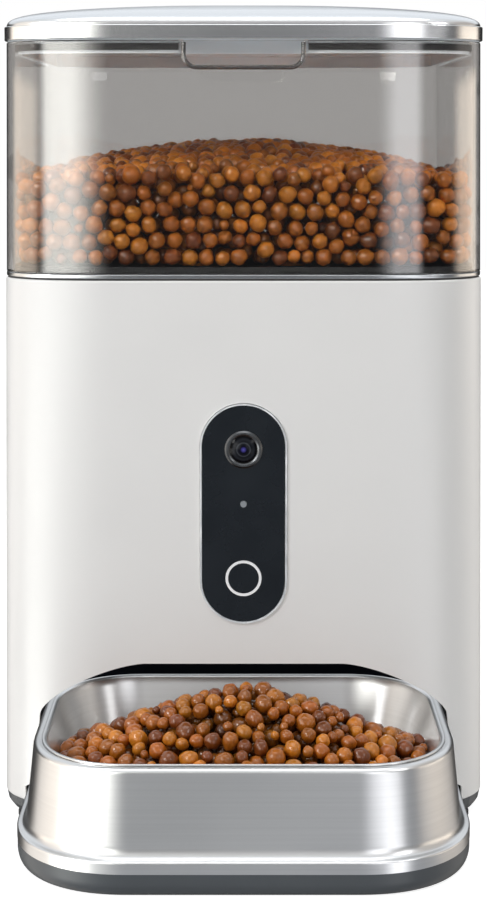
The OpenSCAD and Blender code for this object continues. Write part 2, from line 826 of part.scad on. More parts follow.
ring_edge = 0.3;
module hopper_ring() {
    color("silver") loft([
        body_ring(ring_in, tank_z0),
        body_ring(tank_out(tank_z0) - ring_edge, tank_z0),
        body_ring(tank_out(tank_z0 + ring_edge), tank_z0 + ring_edge),
        body_ring(tank_out(ring_z1 - ring_edge), ring_z1 - ring_edge),
        body_ring(tank_out(ring_z1) - ring_edge, ring_z1),
        body_ring(ring_in, ring_z1)
    ], hoop = true);
}

// Floor plate on the ledge, with a funnel from the tank's plan to the rotor's round pocket
module hopper_floor() {
    plate_out = tank_in(floor_z1) - fit;
    color([0.22, 0.22, 0.23]) difference() {
        union() {
            loft([
                body_ring(plate_out, floor_z0),
                body_ring(plate_out, floor_z1),
                body_ring(mouth_out, floor_z1),
                throat_ring(pocket_r + fit, pocket_z1),
                throat_ring(pocket_r + floor_wall - fit, pocket_z1 - floor_wall),
                body_ring(mouth_out + floor_wall, floor_z0)
            ], hoop = true);
            translate([0, body_y, pocket_under])
                cylinder(r = pocket_r + floor_wall, h = pocket_z1 - pocket_under);
        }
        translate([0, body_y, pocket_z0]) cylinder(r = pocket_r, h = pocket_h + floor_wall);
        translate([0, body_y, pocket_under - past]) {
            cylinder(r = spigot_r, h = 2 * past + floor_wall);
            linear_extrude(2 * past + floor_wall) outlet();
        }
    }
}

// Lid: pressed cap with a band, a small bead and a domed top, over a pale liner with a sealed plug
lid_out = tank_out(tank_z1) + lid_overhang;
band_edge = 0.3;
bead_r = 0.4;
groove_in = 0.6;
groove_depth = 0.25;
lid_bead = 0.9;
dome_power = 1.4;
dome_shoulder = 0.39;
lid_steps = [1, 0.994, 0.98, 0.955, 0.91, 0.84, 0.72, 0.55, 0.37, 0.18];
// Rings of the dome shrink to the middle and turn from the lid's plan into ellipses
function dome_plan(draw) =
    let (
        w = draw * (body_w + 2 * (lid_out - lid_bead)),
        d = draw * (body_d + 2 * (lid_out - lid_bead)),
        turn = 1 - draw,
        rx = draw * (corner_x + lid_out - lid_bead),
        ry = draw * (corner_y + lid_out - lid_bead)
    )
    soft_plan(w, d, rx + (w / 2 - rx) * turn, ry + (d / 2 - ry) * turn, corner_power);
function dome_rise(draw) = lid_dome * pow(1 - pow(draw, dome_power), dome_shoulder);
function dome_ring(draw, shrink, z) = ring(dome_plan(draw * shrink), body_y, z + dome_rise(draw));
module lid_cap() {
    inner = lid_out - lid_skin;
    shrink = 1 - 2 * lid_skin / body_w;
    color("silver") loft(concat(
        [for (i = [len(lid_steps) - 1:-1:0])
            dome_ring(lid_steps[i], shrink, lid_z1 - lid_skin)],
        [
            body_ring(inner, lid_z1 - 2 * lid_skin),
            body_ring(inner, lid_z0),
            body_ring(lid_out - band_edge, lid_z0),
            body_ring(lid_out, lid_z0 + band_edge)
        ],
        [for (a = [0:30:90])
            body_ring(lid_out - bead_r * (1 - cos(a)), lid_z1 - bead_r * (1 - sin(a)))],
        [body_ring(lid_out - groove_in, lid_z1 - groove_depth)],
        [for (draw = lid_steps) dome_ring(draw, 1, lid_z1)]
    ));
}

plug_out = tank_in(tank_z1) - seal_t;
plug_wall = 2;
seal_h = 2.5;
// Recess of the plug behind the finger notch
finger_side = 2;
finger_deep = 8;
module finger_room(room, depth) {
    translate([-notch_w / 2 - room, -body_d / 2 - past])
        square([notch_w + 2 * room, past + tank_wall + depth]);
}
module lid_liner() {
    color("gainsboro") translate([0, body_y, 0]) {
        translate([0, 0, tank_z1]) linear_extrude(liner_t) polygon(body_plan(lid_out - lid_skin - fit));
        translate([0, 0, tank_z1 - plug_h]) linear_extrude(plug_h) difference() {
            polygon(body_plan(plug_out));
            finger_room(finger_side, finger_deep);
            difference() {
                polygon(body_plan(plug_out - plug_wall));
                finger_room(finger_side + plug_wall, finger_deep + plug_wall);
            }
        }
    }
}

module lid_seal() {
    color("dimgray") translate([0, body_y, tank_z1 - (plug_h + seal_h) / 2]) linear_extrude(seal_h)
        difference() {
            polygon(body_plan(plug_out + seal_t - run));
            polygon(body_plan(plug_out));
            finger_room(finger_side, finger_deep);
        }
}

// Front panel group
panel_plan_w = panel_w - 2 * trim_w - 2 * fit;
panel_plan_h = panel_h - 2 * trim_w - 2 * fit;
panel_back = panel_t - panel_proud;
// Button's own gap, its stem and the switch behind it
button_gap = 0.1;
button_short = 1;
button_r = button_ring_d / 2 - button_ring_w - button_gap;
ring_proud = 0.1;
stem_r = 2;
switch_w = 6;
switch_h = 2.2;
switch_gap = 0.15;
// Boards behind the panel, on posts
control_gap = 5;
camera_gap = 10;
control_y = panel_back + control_gap;
camera_y = panel_back + camera_gap;
panel_board_w = 25;
control_below = 11;
post_r = 2;
post_x = 10;
camera_post_z = 10;
control_post_z = 12;
control_post_up = 4;
camera_posts = [for (x = [-post_x, post_x]) for (z = [-camera_post_z, camera_post_z]) [x, lens_up + z]];
control_posts = [for (x = [-post_x, post_x]) for (z = [-control_post_z, control_post_z])
    [x, z - button_down + control_post_up]];
// Camera: bezel's stand, rounded edges and neck, and the domed lens in it
bezel_stand = 1.1;
bezel_edge = 0.6;
bezel_lip = 0.8;
bezel_neck = 1;
bezel_bevel = 0.4;
lens_stand = 0.9;
lens_bulge_r = 9.5;
barrel_h = 4;
barrel_w = 12;
module camera_panel() {
    color([0.1, 0.11, 0.13]) on_panel() difference() {
        union() {
            upright(-panel_proud, panel_back) pill(panel_plan_w, panel_plan_h);
            for (p = camera_posts) translate([p.x, 0, p.y]) bar_y(post_r, panel_back - fit, camera_y);
            for (p = control_posts) translate([p.x, 0, p.y]) bar_y(post_r, panel_back - fit, control_y);
        }
        translate([0, 0, lens_up]) bar_y(bezel_d / 2 - bezel_neck + fit, -past, panel_t + past);
        translate([0, 0, status_up]) bar_y(status_d / 2 + fit, -past, panel_t + past);
        translate([0, 0, -button_down]) bar_y(button_ring_d / 2 + fit / 2, -past, panel_t + past);
    }
}

module panel_trim() {
    color("darkgray") on_panel() upright(-panel_proud, body_wall) difference() {
        pill(panel_w, panel_h);
        pill(panel_w - 2 * trim_w, panel_h - 2 * trim_w);
    }
}

// A ring round the Y axis from profile points of radius and depth
module turned_y() {
    rotate([-90, 0, 0]) rotate_extrude() children();
}

module lens_bezel() {
    front = -panel_proud - bezel_stand;
    color("gray") on_panel(lens_up) turned_y() polygon([
        [lens_d / 2 + fit, front + bezel_bevel],
        [lens_d / 2 + bezel_lip, front],
        [bezel_d / 2 - bezel_edge, front],
        [bezel_d / 2, front + bezel_edge],
        [bezel_d / 2, -panel_proud],
        [bezel_d / 2 - bezel_neck, -panel_proud],
        [bezel_d / 2 - bezel_neck, panel_back],
        [lens_d / 2 + fit, panel_back]
    ]);
}

module camera_lens() {
    front = -panel_proud - lens_stand;
    color([0.15, 0.16, 0.3]) on_panel(lens_up) intersection() {
        bar_y(lens_d / 2, front - past, panel_back);
        translate([0, front + lens_bulge_r, 0]) sphere(r = lens_bulge_r);
    }
}

module lens_barrel() {
    color([0.08, 0.08, 0.08]) on_panel(lens_up) {
        bar_y(lens_d / 2, panel_back, panel_back + barrel_h);
        translate([-barrel_w / 2, panel_back + barrel_h, -barrel_w / 2])
            cube([barrel_w, camera_gap - barrel_h, barrel_w]);
    }
}

module camera_board() {
    w = panel_board_w;
    color("darkgreen") on_panel(lens_up) translate([-w / 2, camera_y, -w / 2]) cube([w, board_t, w]);
}

module status_light() {
    color("lightgray") on_panel(status_up) bar_y(status_d / 2, -panel_proud, control_y);
}

module button_ring() {
    color("white") on_panel(-button_down) difference() {
        bar_y(button_ring_d / 2, -panel_proud - ring_proud, panel_back);
        bar_y(button_ring_d / 2 - button_ring_w, -past, panel_t + past);
    }
}

stem_y1 = control_y - switch_h - button_travel - switch_gap;
module control_board() {
    top = status_up + status_d;
    bottom = -button_down - control_below;
    color("darkgreen") on_panel() {
        translate([-panel_board_w / 2, control_y, bottom]) cube([panel_board_w, board_t, top - bottom]);
        translate([-switch_w / 2, control_y - switch_h, -button_down - switch_w / 2])
            cube([switch_w, switch_h, switch_w]);
    }
}

module feed_button() {
    color([0.13, 0.14, 0.16]) on_panel(-button_down) {
        bar_y(button_r, -panel_proud, panel_back - button_short);
        bar_y(stem_r, panel_back - button_short, stem_y1);
    }
}

// Main board's parts: each has its place from the board's front edge and its size
shield_at = [-22, 12];
shield = [18, 24, 2.8];
chip_at = [6, 18];
chip = [11, 11, 1.2];
sockets_at = [[14, 3], [-6, 3]];
socket = [9, 5, 6];
capacitor_at = [20, 44];
capacitor_d = 8;
capacitor_h = 11;
module main_board() {
    color("darkgreen") difference() {
        translate([0, board_y1 - main_board_d, board_z]) {
            translate([-main_board_w / 2, 0, 0]) cube([main_board_w, main_board_d, board_t]);
            translate([0, 0, board_t]) {
                translate(shield_at) cube(shield);
                translate(chip_at) cube(chip);
                for (place = sockets_at) translate(place) cube(socket);
                translate(capacitor_at) cylinder(d = capacitor_d, h = capacitor_h);
            }
        }
        at_board_posts() cylinder(r = screw_r + fit, h = board_z + past);
    }
}

module board_screws() {
    length = board_t + head_h + board_screw_grip;
    color("silver") at_board_posts() translate([0, 0, board_z + board_t + head_h])
        mirror([0, 0, 1]) screw(length);
}

// Inlet on the board's edge: a flat metal shell with a tongue, just inside the rear skin
inlet_over = 6;
inlet_sunk = 0.8;
inlet_shell = 0.4;
inlet_floor = 1;
tongue_t = 0.7;
tongue_side = 1.6;
module power_inlet() {
    depth = board_gap + body_wall + inlet_over - inlet_sunk;
    color("silver") translate([0, board_y1 - inlet_over, inlet_z]) difference() {
        upright(0, depth) rotate(90) pill(inlet_h, inlet_w);
        difference() {
            upright(inlet_floor, depth + past) rotate(90)
                pill(inlet_h - 2 * inlet_shell, inlet_w - 2 * inlet_shell);
            translate([tongue_side - inlet_w / 2, 0, -tongue_t / 2])
                cube([inlet_w - 2 * tongue_side, depth - inlet_floor, tongue_t]);
        }
    }
}

// Loudspeaker: frame, cone and magnet, facing the floor
magnet_r = 10;
frame_h = 3;
frame_lip = 2;
cone_edge = 1.2;
cone_r = 6;
cone_h = 4;
module speaker() {
    r = speaker_d / 2;
    color([0.2, 0.2, 0.2]) translate([speaker_x, speaker_y, base_floor]) rotate_extrude() polygon([
        [0, speaker_h], [magnet_r, speaker_h], [magnet_r, speaker_h / 2], [r, frame_h], [r, 0],
        [r - frame_lip, 0], [r - frame_lip - cone_edge, cone_edge], [cone_r, cone_h], [0, cone_h - cone_edge]
    ]);
}

// Bowl: outer skirt with rim and flange, liner that hangs in it, and a dark base
// Rounded edges of the flange, its neck, the rim and the bowl's floor
flange_edge = 0.8;
rim_r = 2;
rim_dip = 0.2;
module bowl_skirt() {
    t = bowl_skin;
    color("silver") loft(concat(
        [bowl_ring(flange_out, bowl_base_h)],
        [for (a = [0:45:90])
            bowl_ring(flange_out - flange_edge * (1 - cos(a)), flange_z - flange_edge * (1 - sin(a)))],
        [for (a = [90:-30:0])
            bowl_ring(skirt_flare + neck_r * (1 - cos(a)), flange_z + neck_r * (1 - sin(a)))],
        [for (a = [0:30:90])
            bowl_ring(-rim_r * (1 - cos(a)), bowl_h - rim_r * (1 - sin(a)))],
        [
            bowl_ring(-rim_w, bowl_h - rim_dip),
            bowl_ring(-rim_w, bowl_h - rim_dip - t),
            bowl_ring(-rim_r, bowl_h - t),
            bowl_ring(-t, bowl_h - rim_r),
            bowl_ring(skirt_flare - t, flange_z + neck_r),
            bowl_ring(flange_out - t, flange_z - flange_edge - t),
            bowl_ring(flange_out - t, bowl_base_h)
        ]
    ), hoop = true);
}

// Liner that hangs in the skirt's rim by its lip
liner_lip = 0.8;
liner_lip_t = 0.6;
liner_lip_edge = 0.2;
liner_fillet = 5;
liner_slope = 8;
liner_neck = 3;
module bowl_liner() {
    t = bowl_skin;
    lip_z = bowl_h + bearing;
    wall_in = rim_w + fit + t;
    floor_in = wall_in + liner_slope;
    color("lightgray") loft(concat(
        [for (a = [0:30:90])
            bowl_ring(t - floor_in - liner_fillet * (1 - sin(a)),
                      bowl_floor_z - t + liner_fillet * (1 - cos(a)))],
        [
            bowl_ring(t - wall_in, bowl_h - liner_neck),
            bowl_ring(-rim_w - fit, lip_z),
            bowl_ring(liner_lip - rim_w, lip_z),
            bowl_ring(liner_lip - rim_w - liner_lip_edge, lip_z + liner_lip_t - liner_lip_edge),
            bowl_ring(-rim_w, lip_z + liner_lip_t),
            bowl_ring(liner_lip_edge - wall_in, lip_z),
            bowl_ring(-wall_in, bowl_h - liner_neck)
        ],
        [for (a = [90:-30:0])
            bowl_ring(-floor_in - liner_fillet * (1 - sin(a)), bowl_floor_z + liner_fillet * (1 - cos(a)))]
    ));
}

// Dark base that the skirt is pressed over, rounded at the table
bowl_base_in = 0.1;
bowl_base_wall = 4.4;
bowl_base_round = 2.5;
bowl_base_round_h = 5;
module bowl_base() {
    top = flange_out - bowl_base_in;
    color("dimgray") loft(concat(
        [for (a = [0:30:90])
            bowl_ring(top - bowl_base_round * (1 - sin(a)), bowl_base_round_h * (1 - cos(a)))],
        [
            bowl_ring(top, bowl_base_h),
            bowl_ring(top - bowl_base_wall, bowl_base_h),
            bowl_ring(top - bowl_base_wall, base_wall)
        ]
    ));
}

body_shell();
base_plate();
foot_pads();
base_screws();
bowl_alcove();
hopper_well();
food_chute();
hopper_gasket();
gear_case();
case_screws();
idler_pin();
drive_motor();
camera_panel();
panel_trim();
lens_bezel();
camera_lens();
lens_barrel();
camera_board();
status_light();
button_ring();
control_board();
main_board();
board_screws();
power_inlet();
speaker();
feed_button();
motor_shaft();
motor_pinion();
idler_gear();
output_gear();
rotor_hub();
rotor_blades();
stirrer();
hopper_tank();
hopper_ring();
hopper_floor();
lid_cap();
lid_liner();
lid_seal();
bowl_skirt();
bowl_liner();
bowl_base();
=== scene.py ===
import math
import random

import bmesh
import bpy
import numpy as np
from mathutils import Euler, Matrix, Vector, kdtree, noise


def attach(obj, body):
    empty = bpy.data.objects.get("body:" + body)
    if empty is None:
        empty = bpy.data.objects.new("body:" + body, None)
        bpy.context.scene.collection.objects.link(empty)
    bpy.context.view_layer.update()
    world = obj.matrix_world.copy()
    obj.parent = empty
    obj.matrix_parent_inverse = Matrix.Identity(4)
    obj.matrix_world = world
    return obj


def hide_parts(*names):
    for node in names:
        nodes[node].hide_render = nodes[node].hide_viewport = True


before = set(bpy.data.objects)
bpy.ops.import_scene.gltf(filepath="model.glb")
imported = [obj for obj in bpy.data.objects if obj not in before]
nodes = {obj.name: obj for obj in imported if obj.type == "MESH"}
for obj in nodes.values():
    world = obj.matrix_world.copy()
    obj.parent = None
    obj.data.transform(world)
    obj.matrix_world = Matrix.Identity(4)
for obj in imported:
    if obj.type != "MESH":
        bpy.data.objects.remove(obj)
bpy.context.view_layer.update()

scene = bpy.context.scene
MM = 0.001

# Sizes of the object in millimetres, as the solids have them
BODY_W, BODY_D, BODY_Y = 190.0, 180.0, 34.5
BODY_CORNER = (45.0, 27.0, 2.3)
BODY_DRAFT, BODY_WALL = 2.2, 2.6
SHELL_Z0, SHELL_Z1 = 8.0, 217.6
TANK_Z0, TANK_Z1 = 218.2, 310.2
TANK_WALL, TANK_INSET = 3.0, 0.3
LEDGE_W, LEDGE_T = 4.5, 2.0
RING_H, RING_T = 1.7, 1.2
FLOOR_TOP = 222.7
NOTCH_W, NOTCH_H, NOTCH_R = 46.0, 10.5, 5.0
BEAD_R = 0.9
LID_Z0, LID_Z1 = 310.7, 316.1
LID_DOME, LID_SKIN, LID_BEAD = 12.0, 1.0, 0.9
DOME_POWER, DOME_SHOULDER = 1.4, 0.39
LID_OVER = 0.8
BOWL_W, BOWL_D, BOWL_Y = 160.4, 123.2, -58.6
BOWL_CORNER = (38.5, 41.5, 2.2)
BOWL_H, BOWL_BASE_H, FLANGE_Z, FLANGE_OUT = 45.3, 8.4, 13.0, 6.5
SKIRT_FLARE, RIM_W = 2.9, 4.0
BOWL_FLOOR = 14.0
ALCOVE_H = 66.5
ARCH_X, ARCH_Z, ARCH_POWER = 42.0, 22.0, 1.5
SHOULDER_HALF, WAIST_HALF, WAIST_Z = 81.0, 83.9, 16.2
FOOT_HALF, FOOT_TOP = 87.5, 13.8
PANEL_W, PANEL_H, PANEL_Z = 34.0, 87.0, 126.2
LENS_UP, LENS_R = 25.6, 5.3
INLET_W, INLET_H, INLET_Z = 10.2, 4.5, 16.75
FRONT_Y = BODY_Y - BODY_D / 2

# Fineness of the meshes and of their shading
CORNER_STEPS, ARCH_STEPS, PILL_STEPS, TURN_STEPS = 36, 24, 32, 12
SMOOTH_ANGLE, ROUND_ANGLE, ROUND_SEGMENTS = 32, 40, 3


# Forms

def soft_plan(w, d, corner, out):
    """Rounded rectangle with superelliptic corners, grown by out, counter-clockwise from the right."""
    rx, ry, power = corner[0] + out, corner[1] + out, corner[2]
    hx, hy = w / 2 + out, d / 2 + out
    points = []
    for quarter in range(4):
        side = 1 if quarter in (0, 3) else -1
        end = 1 if quarter < 2 else -1
        for i in range(CORNER_STEPS + 1):
            turn = (i if quarter % 2 == 0 else CORNER_STEPS - i) / CORNER_STEPS * math.pi / 2
            x = hx - rx + rx * max(math.cos(turn), 0) ** (2 / power)
            y = hy - ry + ry * max(math.sin(turn), 0) ** (2 / power)
            points.append((side * x, end * y))
    return points


def body_ring(out, z):
    """The body's plan, grown by out, at a height."""
    return [(x, y + BODY_Y, z) for x, y in soft_plan(BODY_W, BODY_D, BODY_CORNER, out)]


def bowl_ring(out, z):
    """The bowl rim's plan, grown by out, at a height."""
    return [(x, y + BOWL_Y, z) for x, y in soft_plan(BOWL_W, BOWL_D, BOWL_CORNER, out)]


def skin(z):
    """How far the drafted body stands out from its top plan."""
    return BODY_DRAFT * (SHELL_Z1 - z) / (SHELL_Z1 - SHELL_Z0)


def tank_out(z):
    """How far the tank's outside stands out from the body's top plan."""
    return skin(z) - TANK_INSET


def arc(out, z, radius, start, stop, steps=5):
    """Points of a rounded edge: a circle's arc around (out, z), from start to stop in degrees."""
    turns = [math.radians(start + (stop - start) * i / steps) for i in range(steps + 1)]
    return [(out + radius * math.cos(t), z + radius * math.sin(t)) for t in turns]


def loft_data(rings, hoop):
    """Vertices and faces of a skin over rings, capped at both ends or closed on itself."""
    n, count = len(rings[0]), len(rings)
    verts = [p for ring in rings for p in ring]
    faces = []
    for j in range(count if hoop else count - 1):
        a, b = j * n, ((j + 1) % count) * n
        for i in range(n):
            k = (i + 1) % n
            faces.append((a + i, a + k, b + k, b + i))
    if not hoop:
        faces.append(tuple(range(n - 1, -1, -1)))
        faces.append(tuple((count - 1) * n + i for i in range(n)))
    return verts, faces


def mesh_object(name, verts, faces):
    """A linked object from points in millimetres."""
    mesh = bpy.data.meshes.new(name)
    mesh.from_pydata([(x * MM, y * MM, z * MM) for x, y, z in verts], [], faces)
    tidy = bmesh.new()
    tidy.from_mesh(mesh)
    bmesh.ops.recalc_face_normals(tidy, faces=tidy.faces)
    tidy.to_mesh(mesh)
    tidy.free()
    obj = bpy.data.objects.new(name, mesh)
    scene.collection.objects.link(obj)
    return obj


def apply_modifiers(obj):
    """Keeps the shape that the modifiers make, and drops the modifiers."""
    view = bpy.context.evaluated_depsgraph_get()
    made = bpy.data.meshes.new_from_object(obj.evaluated_get(view))
    obj.modifiers.clear()
    obj.data = made


def smooth(obj):
    """Smooth shading in which the large faces stay true and the small edges carry the turn."""
    obj.data.shade_smooth()
    obj.data.set_sharp_from_angle(angle=math.radians(SMOOTH_ANGLE))
    step = obj.modifiers.new("normals", "WEIGHTED_NORMAL")
    step.keep_sharp = True
    apply_modifiers(obj)


def cut(obj, tool):
    """Takes the tool's volume out of the object."""
    step = obj.modifiers.new("cut", "BOOLEAN")
    step.operation = "DIFFERENCE"
    step.solver = "EXACT"
    step.object = tool
    apply_modifiers(obj)
    bpy.data.objects.remove(tool)


def round_edges(obj, width):
    """Rounds the edges that are sharper than the rounding angle."""
    step = obj.modifiers.new("round", "BEVEL")
    step.width = width * MM
    step.segments = ROUND_SEGMENTS
    step.limit_method = "ANGLE"
    step.angle_limit = math.radians(ROUND_ANGLE)
    apply_modifiers(obj)


def prism(name, outline, y0, y1):
    """A bar along Y whose outline is given in X and Z."""
    n = len(outline)
    verts = [(x, y0, z) for x, z in outline] + [(x, y1, z) for x, z in outline]
    faces = [(i, (i + 1) % n, n + (i + 1) % n, n + i) for i in range(n)]
    faces += [tuple(range(n - 1, -1, -1)), tuple(range(n, 2 * n))]
    return mesh_object(name, verts, faces)


def piece(obj, body, material, *replaced):
    """Finishes a piece: smooth shading, its material, the body it rides on and the nodes it stands for."""
    smooth(obj)
    obj.data.materials.clear()
    obj.data.materials.append(material)
    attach(obj, body)
    if replaced:
        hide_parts(*replaced)


def arch_outline(bottom):
    """The alcove's front outline down to a height, as X and Z."""
    shoulder_z = ALCOVE_H - ARCH_Z
    right = []
    for i in range(ARCH_STEPS + 1):
        t = i / ARCH_STEPS * math.pi / 2
        x = SHOULDER_HALF - ARCH_X + ARCH_X * max(math.cos(t), 0) ** (2 / ARCH_POWER)
        z = shoulder_z + ARCH_Z * max(math.sin(t), 0) ** (2 / ARCH_POWER)
        right.append((x, z))
    foot = [(FOOT_HALF, bottom), (FOOT_HALF, FOOT_TOP), (WAIST_HALF, WAIST_Z)]
    left = [(-x, z) for x, z in reversed(foot + right)]
    return foot + right + left


def pill_outline(w, h):
    """Slot outline with round ends, long in Z."""
    points = []
    for end in (1, -1):
        for i in range(PILL_STEPS + 1):
            t = math.pi * i / PILL_STEPS + (0 if end == 1 else math.pi)
            points.append((w / 2 * math.cos(t), end * (h - w) / 2 + w / 2 * math.sin(t)))
    return points


# Materials: noise is given in marks per metre, bump depths in metres

NOISE_LOW, NOISE_HIGH = 0.25, 0.75
MOULD_CLOUD, MOULD_GRAIN, MOULD_DEPTH, MOULD_GLOSS = (35, 35, 35), (2400, 2400, 2400), 0.0002, 0.04
STREAK_DARK, STREAK_LIGHT, STREAK_BUMP, STREAK_DEPTH = 0.93, 1.07, 0.02, 0.0001
STEEL_CLOUD, STEEL_GLOSS, STEEL_SPREAD, STEEL_TURN = (14, 14, 14), 0.025, 0.6, 0.25
WEAR_CLOUD, WEAR_DARK, WEAR_LIGHT, WEAR_GLOSS = (220, 220, 220), 0.85, 1.08, 0.08
LEVEL_BRUSHING, LID_BRUSHING = (7, 7, 1100), (7, 1100, 60)
# The notch bead's smoke is much thicker than the tank's: painted shade for the dark outline round the notch
TANK_SMOKE, TANK_DENSITY, BEAD_SHADE_DENSITY = (0.52, 0.50, 0.48, 1), 265, 1700
PIT_BUMP, PIT_DEPTH = 0.35, 0.0006


def new_material(name, colour, roughness, metallic=0.0):
    """A material with its node tree and its Principled shader."""
    mat = bpy.data.materials.new(name)
    mat.use_nodes = True
    shader = mat.node_tree.nodes["Principled BSDF"]
    shader.inputs["Base Color"].default_value = (*colour, 1)
    shader.inputs["Roughness"].default_value = roughness
    shader.inputs["Metallic"].default_value = metallic
    return mat, mat.node_tree, shader


def stretched_noise(tree, stretch, detail=3.0):
    """Noise over the object's own place, stretched per axis (marks per metre)."""
    place = tree.nodes.new("ShaderNodeTexCoord")
    scale = tree.nodes.new("ShaderNodeMapping")
    scale.inputs["Scale"].default_value = stretch
    tree.links.new(place.outputs["Object"], scale.inputs["Vector"])
    grain = tree.nodes.new("ShaderNodeTexNoise")
    grain.inputs["Scale"].default_value = 1.0
    grain.inputs["Detail"].default_value = detail
    tree.links.new(scale.outputs["Vector"], grain.inputs["Vector"])
    return grain.outputs["Fac"]


def spread(tree, value, low, high):
    """Maps noise to a range of numbers."""
    step = tree.nodes.new("ShaderNodeMapRange")
    step.inputs["From Min"].default_value = NOISE_LOW
    step.inputs["From Max"].default_value = NOISE_HIGH
    step.inputs["To Min"].default_value = low
    step.inputs["To Max"].default_value = high
    tree.links.new(value, step.inputs["Value"])
    return step.outputs["Result"]


def two_tone(tree, value, dark, light):
    """Mixes two colours by noise."""
    step = tree.nodes.new("ShaderNodeMix")
    step.data_type = "RGBA"
    step.inputs["A"].default_value = (*dark, 1)
    step.inputs["B"].default_value = (*light, 1)
    tree.links.new(value, step.inputs["Factor"])
    return step.outputs["Result"]


def bump(tree, shader, height, strength, distance):
    """Gives the shader a bump by a height."""
    step = tree.nodes.new("ShaderNodeBump")
    step.inputs["Strength"].default_value = strength
    step.inputs["Distance"].default_value = distance
    tree.links.new(height, step.inputs["Height"])
    tree.links.new(step.outputs["Normal"], shader.inputs["Normal"])


def shade(colour, factor):
    """A colour made darker or lighter."""
    return tuple(min(1.0, c * factor) for c in colour)


def moulded(name, colour, roughness, vary=0.04, grain=0.05, gloss=0.5):
    """Moulded plastic or rubber: faint mottling, uneven gloss and a fine moulded grain."""
    mat, tree, shader = new_material(name, colour, roughness)
    shader.inputs["Specular IOR Level"].default_value = gloss
    cloud = stretched_noise(tree, MOULD_CLOUD)
    fine = stretched_noise(tree, MOULD_GRAIN, 2.0)
    tint = two_tone(tree, cloud, shade(colour, 1 - vary), shade(colour, 1 + vary))
    tree.links.new(tint, shader.inputs["Base Color"])
    gloss_map = spread(tree, cloud, roughness - MOULD_GLOSS, roughness + MOULD_GLOSS)
    tree.links.new(gloss_map, shader.inputs["Roughness"])
    bump(tree, shader, fine, grain, MOULD_DEPTH)
    return mat


def brushed(name, colour, stretch, roughness):
    """Brushed metal: faint long streaks in colour and gloss, and gloss spread across the brushing."""
    mat, tree, shader = new_material(name, colour, roughness, 1.0)
    lines = stretched_noise(tree, stretch, 2.0)
    cloud = stretched_noise(tree, STEEL_CLOUD, 2.0)
    tint = two_tone(tree, lines, shade(colour, STREAK_DARK), shade(colour, STREAK_LIGHT))
    tree.links.new(tint, shader.inputs["Base Color"])
    gloss_map = spread(tree, cloud, roughness - STEEL_GLOSS, roughness + STEEL_GLOSS)
    tree.links.new(gloss_map, shader.inputs["Roughness"])
    shader.inputs["Anisotropic"].default_value = STEEL_SPREAD
    shader.inputs["Anisotropic Rotation"].default_value = STEEL_TURN
    bump(tree, shader, lines, STREAK_BUMP, STREAK_DEPTH)
    return mat


def worn_metal(name, colour, roughness):
    """Plain bright metal with faint cloudy wear."""
    mat, tree, shader = new_material(name, colour, roughness, 1.0)
    cloud = stretched_noise(tree, WEAR_CLOUD, 5.0)
    tint = two_tone(tree, cloud, shade(colour, WEAR_DARK), shade(colour, WEAR_LIGHT))
    tree.links.new(tint, shader.inputs["Base Color"])
    gloss_map = spread(tree, cloud, roughness - WEAR_GLOSS, roughness + WEAR_GLOSS)
    tree.links.new(gloss_map, shader.inputs["Roughness"])
    return mat


white_plastic = moulded("body_white", (0.78, 0.775, 0.765), 0.36, 0.012, 0.03, 0.85)
slate_plastic = moulded("base_slate", (0.062, 0.070, 0.078), 0.38, 0.06, 0.05)
alcove_plastic = moulded("alcove_black", (0.004, 0.005, 0.008), 0.6, 0.1, 0.05, 0.03)
# The lid liner's pale colour is painted light: it is made pale so that its shaded underside reads lit through
# the tank
liner_painted_light = moulded("lid_liner_pale", (0.86, 0.91, 0.95), 0.05, 0.02, 0.0)
dark_plastic = moulded("dark_plastic", (0.030, 0.030, 0.032), 0.5, 0.08, 0.05)
floor_plastic = moulded("hopper_floor_dark", (0.014, 0.015, 0.017), 0.45, 0.08, 0.05)
inner_plastic = moulded("inner_grey", (0.62, 0.62, 0.61), 0.5, 0.03, 0.05)
gear_plastic = moulded("gear_ivory", (0.72, 0.68, 0.58), 0.45, 0.04, 0.05)
rotor_plastic = moulded("rotor_orange", (0.72, 0.27, 0.06), 0.45, 0.05, 0.05)
blade_rubber = moulded("blade_silicone", (0.62, 0.56, 0.50), 0.6, 0.05, 0.08)
black_rubber = moulded("foot_rubber", (0.02, 0.02, 0.021), 0.75, 0.15, 0.1)
seal_rubber = moulded("seal_silicone", (0.035, 0.034, 0.034), 0.55, 0.08, 0.06)
board_green = moulded("board_lacquer", (0.02, 0.12, 0.05), 0.3, 0.12, 0.05)
light_pipe = moulded("light_pipe", (0.24, 0.26, 0.28), 0.35, 0.04, 0.03)
ring_white = moulded("ring_white", (0.92, 0.93, 0.94), 0.35, 0.02, 0.03)
screw_steel = worn_metal("screw_steel", (0.55, 0.55, 0.55), 0.3)
motor_metal = worn_metal("motor_zinc", (0.50, 0.51, 0.52), 0.38)
pinion_brass = worn_metal("pinion_brass", (0.70, 0.52, 0.22), 0.3)
trim_metal = worn_metal("trim_bright", (0.80, 0.81, 0.82), 0.35)
bezel_metal = worn_metal("bezel_grey", (0.085, 0.088, 0.092), 0.33)
steel_wall = brushed("steel_wall", (0.62, 0.62, 0.62), LEVEL_BRUSHING, 0.24)
steel_bowl = brushed("steel_bowl", (0.62, 0.62, 0.62), LEVEL_BRUSHING, 0.31)
steel_ring = brushed("steel_ring", (0.42, 0.43, 0.44), LEVEL_BRUSHING, 0.24)
steel_top = brushed("steel_top", (0.66, 0.67, 0.685), LID_BRUSHING, 0.22)


